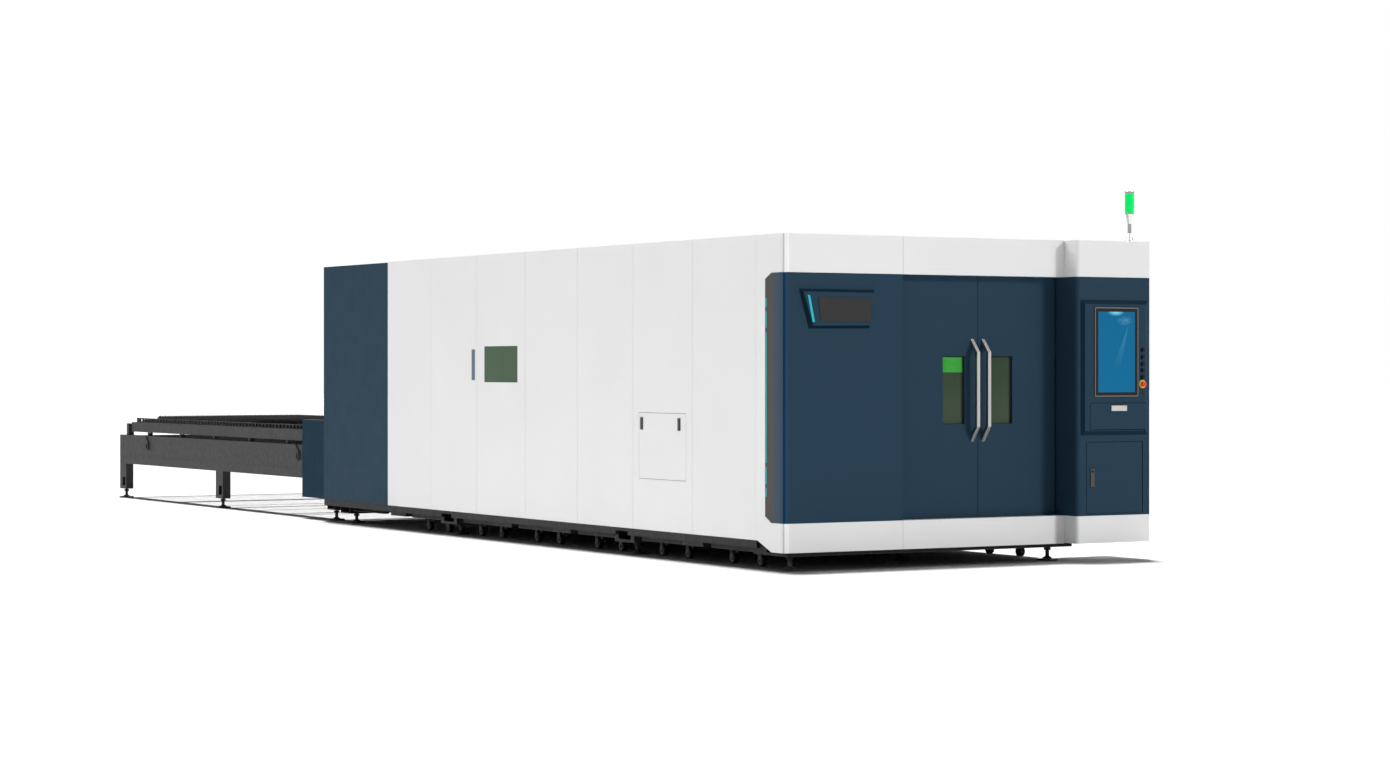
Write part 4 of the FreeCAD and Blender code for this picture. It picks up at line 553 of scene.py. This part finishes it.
row_x = [tray_x[0] + CASTER_ROW[0], 0.0, tray_x[1] - CASTER_ROW[1]]
row_x[1] = (row_x[0] + row_x[2]) / 2.0
tyre_bands = [("X", x - WHEEL_HALF_W - 0.0004, x + WHEEL_HALF_W + 0.0004, TYRE_BLACK) for x in row_x]
cart_paint = steel_paint("cart_paint", FORK_GREY, bands=[*tyre_bands, ("Z", WHEEL_TOP, 1.0, TRAY_BLACK)])
for number in range(1, 7):
    cart = "slag_cart_%d" % number
    dress(cart_paint, cart)
    low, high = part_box(cart)
    middle = (low.y + high.y) / 2.0
    hubs = []
    for x in row_x:
        for y in (middle - CASTER_SIDE, middle + CASTER_SIDE):
            left = np.asarray(HUB) * (1.0, -1.0)
            hubs.append(turned(left, (x - WHEEL_HALF_W, y, WHEEL_AXLE_Z), 0, 16))
            hubs.append(turned(HUB, (x + WHEEL_HALF_W, y, WHEEL_AXLE_Z), 0, 16))
    make_piece("caster_hubs_%d" % number, hubs, "cart_%d" % number, hub_zinc)

# ---- levelling feet ----------------------------------------------------------------------------
# Turned steel pads, blackened, each on a threaded stud with a lock nut.  The thread shows
# between the pad's neck and the nut.
THREAD_PITCH = 0.004
THREAD_FOOT = 0.032
STUD_RADIUS = 0.014
THREAD_DEPTH = 0.0012      # crest over the stud
THREAD_BITE = 0.0005       # root inside it
THREAD_TURNS = 8
blackened = steel_paint("blackened_steel", (0.022, 0.022, 0.024), rough=0.42)
dress(blackened, "levelling_feet", "lift_links")
thread_steel = steel_paint("zinc_thread", (0.12, 0.12, 0.125), rough=0.35)
feet_low, feet_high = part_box("levelling_feet")
PAD_RADIUS = 0.075
MACHINE_FEET = (0.0, 2.133, 5.142, 7.270)      # behind the front feet
TABLE_FEET = (7.785, 10.580, 13.375)
front_foot_y = feet_low.y + PAD_RADIUS
machine_x = (feet_low.x + PAD_RADIUS, feet_high.x - PAD_RADIUS)
centres = [(x, front_foot_y + y) for y in MACHINE_FEET for x in machine_x]
centres += [(x, front_foot_y + y) for y in TABLE_FEET for x in table_x]
thread_z = THREAD_FOOT + np.arange(2 * THREAD_TURNS + 1) * THREAD_PITCH / 2.0
thread_r = np.where(np.arange(len(thread_z)) % 2, STUD_RADIUS + THREAD_DEPTH, STUD_RADIUS - THREAD_BITE)
thread = np.stack([thread_r, thread_z], axis=1)
thread = np.vstack([(0.0, thread_z[0]), thread, (0.0, thread_z[-1])])
threads = [turned(thread, (x, y, 0.0), 2, 16) for x, y in centres]
make_piece("foot_threads", threads, "machine", thread_steel)

# ---- bright metal: handles, guides, head -------------------------------------------------------
# Mitred square-tube pulls of brushed stainless steel, ground guides, and a machined head with a
# copper nozzle.
def bare_metal(name, colour, rough, grain=(400.0, 400.0, 400.0), depth=0.1):
    """Metal whose colour, roughness and bump follow one noise; the noise is multiplied by the
    grain along each axis, so that a small number draws it out into brushed lines."""
    material, tree, shader = blank_material(name)
    shader.inputs["Metallic"].default_value = 1.0
    lines = object_noise(tree, 1.0, 3.0, grain)
    tree.links.new(tint(tree, colour, spread(tree, lines, 0.92, 1.0)), shader.inputs["Base Color"])
    tree.links.new(spread(tree, lines, rough - 0.05, rough + 0.08), shader.inputs["Roughness"])
    bump(tree, shader, lines, depth, 0.0003)
    return material


brushed_bar = bare_metal("brushed_stainless", (0.42, 0.41, 0.395), 0.34, (900.0, 900.0, 12.0), 0.15)
ground_steel = bare_metal("ground_steel", (0.45, 0.45, 0.46), 0.25, (900.0, 8.0, 900.0))
head_alloy = bare_metal("machined_alloy", (0.60, 0.60, 0.61), 0.35, (700.0, 700.0, 20.0))
copper = bare_metal("nozzle_copper", (0.72, 0.36, 0.22), 0.28)
dress(brushed_bar, "door_left_handle", "door_right_handle")
dress(ground_steel, "gantry_guides")
dress(head_alloy, "head_carriage", "cutting_head")
gantry_grey = steel_paint("gantry_grey_paint", (0.25, 0.26, 0.27), rough=0.4)
dress(gantry_grey, "gantry_beam")

head_low, head_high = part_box("cutting_head")
head_x = (head_low.x + head_high.x) / 2.0
head_y = (head_low.y + head_high.y) / 2.0
NOZZLE_RING = [(0.0070, 0.0004), (0.0105, 0.0004), (0.0125, 0.0060), (0.0125, 0.0110), (0.0088, 0.0110),
               (0.0070, 0.0004)]
FOCUS_RING = [(0.0290, 0.0), (0.0325, 0.0), (0.0335, 0.0015), (0.0335, 0.0105), (0.0325, 0.0120),
              (0.0290, 0.0120), (0.0290, 0.0)]
RINGS_UP = (0.064, 0.082, 0.106)       # clamp rings over the nozzle's tip
nozzle_ring = turned(NOZZLE_RING, (head_x, head_y, head_low.z), 2)
make_piece("nozzle_ring", [nozzle_ring], "head", copper)
rings = [turned(FOCUS_RING, (head_x, head_y, head_low.z + up), 2, 36) for up in RINGS_UP]
make_piece("head_clamp_rings", rings, "head", head_alloy)

# ---- moulded plastic: latches, buttons, badge plate, monitor -----------------------------------
# Injection-moulded parts with a fine spark texture or a gloss skin.
def moulded(name, colour, rough, texture=0.1, specular=0.3):
    """Plastic: colour times a faint noise, roughness moved by a finer noise, and a bump of very
    fine noise with the strength of the mould's texture."""
    material, tree, shader = blank_material(name)
    tree.links.new(tint(tree, colour, spread(tree, object_noise(tree, 30.0, 3.0), 0.95, 1.02)),
                   shader.inputs["Base Color"])
    tree.links.new(spread(tree, object_noise(tree, 90.0, 2.0), rough - 0.03, rough + 0.05),
                   shader.inputs["Roughness"])
    shader.inputs["Specular IOR Level"].default_value = specular
    bump(tree, shader, object_noise(tree, 1500.0), texture, 0.0002)
    return material


latch_plastic = moulded("latch_plastic", (0.050, 0.048, 0.045), 0.5)
button_plastic = moulded("button_plastic", (0.004, 0.004, 0.005), 0.35, 0.03, 0.12)
plate_black = moulded("badge_plate_black", (0.030, 0.030, 0.031), 0.5, 0.05, 0.1)
monitor_black = moulded("monitor_black", (0.012, 0.012, 0.013), 0.4, 0.02, 0.12)
estop_yellow = moulded("estop_yellow", (0.70, 0.46, 0.05), 0.35, 0.05)
estop_red = moulded("estop_red", (0.80, 0.045, 0.010), 0.28, 0.03)
dress(latch_plastic, "hatch_latches", "cabinet_latch")
dress(button_plastic, *["button_%d" % n for n in range(1, 6)])
dress(plate_black, "badge_plate")
dress(monitor_black, "monitor_frame")
dress(estop_yellow, "estop_ring")
dress(estop_red, "estop_button")

# ---- operating panel: button bezels and sockets ------------------------------------------------
# Black anodised rings are pressed into the fascia round each push button, and two small key
# sockets sit under the emergency stop.
BEZEL = [(0.0132, 0.0004), (0.0132, -0.0016), (0.0140, -0.0022), (0.0156, -0.0022), (0.0166, -0.0012),
         (0.0166, 0.0004), (0.0132, 0.0004)]
SOCKET = [(0.0, -0.0006), (0.0034, -0.0006), (0.0040, -0.0020), (0.0062, -0.0022), (0.0072, -0.0012),
          (0.0072, 0.0004), (0.0, 0.0004)]
SOCKETS_BELOW = (0.036, 0.064)     # under the middle of the emergency stop
fascia_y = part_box("cabinet_fascia")[0].y
bezel_black = moulded("bezel_black", (0.004, 0.004, 0.005), 0.3, 0.03, 0.12)
bezels = []
for number in range(1, 6):
    low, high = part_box("button_%d" % number)
    bezels.append(turned(BEZEL, ((low.x + high.x) / 2.0, fascia_y, (low.z + high.z) / 2.0), 1))
make_piece("button_bezels", bezels, "machine", bezel_black)
stop_low, stop_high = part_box("estop_ring")
stop_x = (stop_low.x + stop_high.x) / 2.0
stop_z = (stop_low.z + stop_high.z) / 2.0
sockets = [turned(SOCKET, (stop_x, fascia_y, stop_z - below), 1, 20) for below in SOCKETS_BELOW]
make_piece("key_sockets", sockets, "machine", bezel_black)

# ---- monitor: grey rim, black border and the lit screen ----------------------------------------
# A portrait panel monitor: a brown-grey metal rim is clipped round its black border, and the
# screen shows a plain blue picture with a soft glow, a beam and a pale cloud of shapes.
RIM = [(0.0004, 0.0050), (0.0004, -0.0004), (-0.0004, -0.0012), (-0.0070, -0.0012), (-0.0078, -0.0004),
       (-0.0078, 0.0030)]
rim_low, rim_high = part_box("monitor_frame")
rim_metal = bare_metal("monitor_rim_metal", (0.135, 0.125, 0.118), 0.42)
rim_ring = rimmed(rim_low, rim_high, 1, rim_low.y, RIM, 0.0125)
make_piece("monitor_rim", [rim_ring], "machine", rim_metal)


def along(tree, axis, low, high):
    """The piece's own coordinate, as 0 at the low limit and 1 at the high one."""
    from_low = math_node(tree, "SUBTRACT", own_coordinate(tree, axis), low)
    return math_node(tree, "DIVIDE", from_low, high - low)


def glow_at(tree, u, v, at, size):
    """Soft spot: the square of 1 less the squared distance from its middle, measured in the
    half sizes of an ellipse, and 0 outside the ellipse."""
    across = math_node(tree, "DIVIDE", math_node(tree, "SUBTRACT", u, at[0]), size[0])
    up = math_node(tree, "DIVIDE", math_node(tree, "SUBTRACT", v, at[1]), size[1])
    square = math_node(tree, "MULTIPLY_ADD", across, across, math_node(tree, "MULTIPLY", up, up))
    near = math_node(tree, "MAXIMUM", math_node(tree, "SUBTRACT", 1.0, square), 0.0)
    return math_node(tree, "MULTIPLY", near, near)


def add_light(tree, base, mask, colour):
    """Base colour plus another colour times the mask."""
    node = tree.nodes.new("ShaderNodeVectorMath")
    node.operation = "ADD"
    tree.links.new(base, node.inputs[0])
    tree.links.new(tint(tree, colour, mask), node.inputs[1])
    return node.outputs["Vector"]


SCREEN_BLUE = (0.001, 0.138, 0.298)
BEAM_FOOT = 0.32           # where the beam's middle line would meet the foot of the picture
BEAM_LEAN = 0.60
BEAM_TIP = 0.83
BEAM_SPREAD = 0.20
BEAM_END = 0.30            # where it has faded out
GLOW_AT = (0.48, 1.0)
GLOW_SIZE = (0.26, 0.06)
GLOW_BLUE = (0.20, 0.55, 0.60)
CLOUD_AT = (0.72, 0.89)
CLOUD_SIZE = (0.26, 0.07)
CLOUD_BLUE = (0.10, 0.16, 0.18)
BEAM_BLUE = (0.08, 0.15, 0.14)
screen_low, screen_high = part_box("monitor_screen")
screen_picture, screen_tree, screen_shader = blank_material("screen_picture")
across = along(screen_tree, "X", screen_low.x, screen_high.x)
upwards = along(screen_tree, "Z", screen_low.z, screen_high.z)
middle_line = math_node(screen_tree, "MULTIPLY_ADD", upwards, BEAM_LEAN, BEAM_FOOT)
off_line = math_node(screen_tree, "ABSOLUTE", math_node(screen_tree, "SUBTRACT", across, middle_line))
below_tip = math_node(screen_tree, "SUBTRACT", BEAM_TIP, upwards)
beam_half = math_node(screen_tree, "MULTIPLY", below_tip, BEAM_SPREAD)
inside_beam = math_node(screen_tree, "GREATER_THAN", beam_half, off_line)
beam_fade = math_node(screen_tree, "MAXIMUM", math_node(screen_tree, "SUBTRACT", upwards, BEAM_END), 0.0)
beam = math_node(screen_tree, "MULTIPLY", inside_beam, beam_fade)
cloud_grain = spread(screen_tree, object_noise(screen_tree, 70.0, 3.0), 0.0, 1.0)
cloud = math_node(screen_tree, "MULTIPLY", cloud_grain,
                  glow_at(screen_tree, across, upwards, CLOUD_AT, CLOUD_SIZE))
glow = glow_at(screen_tree, across, upwards, GLOW_AT, GLOW_SIZE)
level = math_node(screen_tree, "MULTIPLY_ADD", upwards, -0.06, 1.03)
picture = tint(screen_tree, SCREEN_BLUE, level)
picture = add_light(screen_tree, picture, glow, GLOW_BLUE)
picture = add_light(screen_tree, picture, beam, BEAM_BLUE)
picture = add_light(screen_tree, picture, cloud, CLOUD_BLUE)
screen_tree.links.new(picture, screen_shader.inputs["Emission Color"])
screen_shader.inputs["Base Color"].default_value = (0.002, 0.004, 0.006, 1.0)
screen_shader.inputs["Emission Strength"].default_value = 1.0
screen_shader.inputs["Roughness"].default_value = 0.35
screen_shader.inputs["Specular IOR Level"].default_value = 0.06
dress(screen_picture, "monitor_screen")

# ---- keyboard flap pull and its lock, cabinet latch key ----------------------------------------
# A folded pale aluminium pull with a small lock near its right end, and a turning latch of dark
# plastic with a key barrel.
satin_alloy = bare_metal("satin_anodised", (0.44, 0.43, 0.42), 0.42, (12.0, 900.0, 900.0))
dress(satin_alloy, "flap_pull")
LOCK = [(0.0, -0.0010), (0.0022, -0.0010), (0.0034, -0.0006), (0.0038, 0.0003), (0.0, 0.0003)]
pull_low, pull_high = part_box("flap_pull")
LOCK_IN = 0.020            # lock from the pull's right end
LOCK_UP = 0.012            # and over its middle
lock_place = (pull_high.x - LOCK_IN, pull_low.y, (pull_low.z + pull_high.z) / 2.0 + LOCK_UP)
make_piece("pull_lock", [turned(LOCK, lock_place, 1, 16)], "keyboard_tray", bezel_black)
KEY_BARREL = [(0.0, -0.0006), (0.0045, -0.0006), (0.0060, -0.0014), (0.0085, -0.0014), (0.0095, -0.0006),
              (0.0095, 0.0004), (0.0, 0.0004)]
latch_low, latch_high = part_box("cabinet_latch")
BARREL_DOWN = 0.018        # key barrel under the latch's upper end
barrel_place = ((latch_low.x + latch_high.x) / 2.0, latch_low.y, latch_high.z - BARREL_DOWN)
key_barrel = turned(KEY_BARREL, barrel_place, 1)
make_piece("latch_key_barrel", [key_barrel], "cabinet_latch", bezel_black)

# ---- windows: green laser-protection sheet in rubber gaskets -----------------------------------
# Dark green polycarbonate sheets stand behind the openings.  Black rubber beads hold them in
# the doors and in the side panel, and a matt bright green sheet lies over the top of the left door's.
def tinted_glass(name, colour, clear, rough=0.06, shine=0.2):
    """Tinted sheet: colour times a broad faint noise, clear by the given share, with a very
    slight wave for a bump."""
    material, tree, shader = blank_material(name)
    tree.links.new(tint(tree, colour, spread(tree, object_noise(tree, 3.0, 2.0), 0.93, 1.05)),
                   shader.inputs["Base Color"])
    shader.inputs["Transmission Weight"].default_value = clear
    shader.inputs["Roughness"].default_value = rough
    shader.inputs["IOR"].default_value = 1.45
    shader.inputs["Specular IOR Level"].default_value = shine
    bump(tree, shader, object_noise(tree, 6.0), 0.02, 0.001)
    return material


side_glass = tinted_glass("laser_window_side", (0.075, 0.125, 0.075), 0.12)
door_glass = tinted_glass("laser_window_door", (0.040, 0.066, 0.038), 0.12)
band_glass = tinted_glass("laser_window_band", (0.048, 0.330, 0.048), 0.0, 0.35, 0.04)
dress(side_glass, "side_window")
dress(door_glass, "door_left_glass", "door_right_glass")
BEAD = [(0.0, 0.0), (-0.0050, 0.0), (-0.0050, -0.0020), (-0.0036, -0.0036), (0.0, -0.0036)]
SIDE_BEAD = [(0.0, 0.0), (-0.0050, 0.0), (-0.0042, -0.0009), (0.0, -0.0009)]
BAND_HEIGHT = 0.119
for side in ("left", "right"):
    low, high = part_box("door_%s_glass" % side)
    bead = rimmed(low, high, 1, low.y, BEAD, 0.0060)
    make_piece("door_%s_window_bead" % side, [bead], "door_%s" % side, black_rubber)
low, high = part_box("side_window")
side_bead = rimmed(low, high, 0, low.x, SIDE_BEAD, 0.0060)
make_piece("side_window_bead", [side_bead], "machine", black_rubber)
low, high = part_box("door_left_glass")
BAND_SHEET = [(-0.0056, -0.0002), (-0.0052, -0.0002), (-0.0052, -0.0010), (-0.0056, -0.0012)]
band_sheet = rimmed((low.x, low.y, high.z - BAND_HEIGHT), high, 1, low.y, BAND_SHEET, 0.0070, filled=True)
make_piece("door_left_green_band", [band_sheet], "door_left", band_glass)

# ---- centre seal of the doors ------------------------------------------------------------------
# A rubber lip on the left leaf closes the running gap between the leaves against light.
LIP = [(-0.0006, -0.0015), (0.0, -0.0010), (0.0, 0.0010), (-0.0006, 0.0015)]
LIP_DEPTH = (0.008, 0.044)     # behind the leaves' front
LIP_SHORT = 0.004              # from the ends of the leaf
leaf_low, leaf_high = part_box("door_left")
other_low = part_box("door_right")[0]
seam_x = (leaf_high.x + other_low.x) / 2.0
lip_low = (seam_x, leaf_low.y + LIP_DEPTH[0], leaf_low.z + LIP_SHORT)
lip_high = (seam_x, leaf_low.y + LIP_DEPTH[1], leaf_high.z - LIP_SHORT)
lip = rimmed(lip_low, lip_high, 0, seam_x, LIP, 0.0015, filled=True)
make_piece("door_centre_seal", [lip], "door_left", black_rubber)

# ---- corner trim, light strips and signal lamp -------------------------------------------------
# A blue-grey strip on the corner is followed by a chamfered dark grey band with teal light
# segments.  A paler accent bar is glued beside the side window.  The lamp has a fluted green
# lens on a polished stand.
STRIP_EDGE = 0.046         # width of the blue-grey strip
BAND_GREY = (0.075, 0.070, 0.066)
ACCENT_BLUE = (0.125, 0.165, 0.210)
TEAL = (0.016, 0.330, 0.400)
SEGMENT_TEAL = (0.030, 0.250, 0.270)
trim_low, trim_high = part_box("trim_strips")
trim_coat = powder_coat("corner_trim_coat", BAND_GREY, 0.10, bands=(
    ("Y", trim_low.y - PAST_END, trim_low.y + STRIP_EDGE, STRIP_BLUE),
    ("Y", trim_high.y - 1.0, trim_high.y + PAST_END, ACCENT_BLUE),
))
dress(trim_coat, "trim_strips")


def lit(name, colour, strength, rough=0.3, dimmed=None):
    """Diffuser or lens that glows in its own colour, times a faint noise; dimmed is (axis, low,
    high, colour) for a stretch in another colour."""
    material, tree, shader = blank_material(name)
    if dimmed:
        colour = choose(tree, axis_between(tree, *dimmed[:3]), colour, dimmed[3])
    glow = tint(tree, colour, spread(tree, object_noise(tree, 25.0, 2.0), 0.94, 1.04))
    tree.links.new(glow, shader.inputs["Base Color"])
    tree.links.new(glow, shader.inputs["Emission Color"])
    shader.inputs["Emission Strength"].default_value = strength
    shader.inputs["Roughness"].default_value = rough
    shader.inputs["Specular IOR Level"].default_value = 0.15
    return material


segments = ("Y", trim_low.y, trim_high.y, SEGMENT_TEAL)
teal_light = lit("teal_diffuser", TEAL, 0.35, dimmed=segments)
dress(teal_light, "front_lights")
green_light = lit("green_lens", (0.0, 0.56, 0.10), 0.55, 0.25)
dress(green_light, "lamp_lens")
chrome = bare_metal("polished_chrome", (0.80, 0.79, 0.78), 0.12, depth=0.01)
dress(chrome, "lamp_stand")
FLUTES = 36
FLUTE_DEPTH = 0.0007
LENS_PROFILE = [(0.0, 0.0), (0.97, 0.0), (1.0, 0.004), (1.0, 0.136), (0.97, 0.140), (0.0, 0.140)]
lens_low, lens_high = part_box("lamp_lens")
lens_radius = (lens_high.x - lens_low.x) / 2.0
lens_angle = np.linspace(0.0, 2.0 * np.pi, FLUTES * 6, endpoint=False)
lens_rows = np.array(LENS_PROFILE)
lens_skin = lens_radius - FLUTE_DEPTH * (0.5 - 0.5 * np.cos(FLUTES * lens_angle))
lens_loops = np.zeros((len(lens_rows), len(lens_angle), 3))
lens_loops[..., 0] = (lens_low.x + lens_high.x) / 2.0 + lens_rows[:, :1] * lens_skin * np.cos(lens_angle)
lens_loops[..., 1] = (lens_low.y + lens_high.y) / 2.0 + lens_rows[:, :1] * lens_skin * np.sin(lens_angle)
lens_loops[..., 2] = lens_low.z + lens_rows[:, 1:]
lens = make_piece("lamp_lens_fluted", [closed_skin(lens_loops)], "machine", green_light)
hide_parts("lamp_lens")
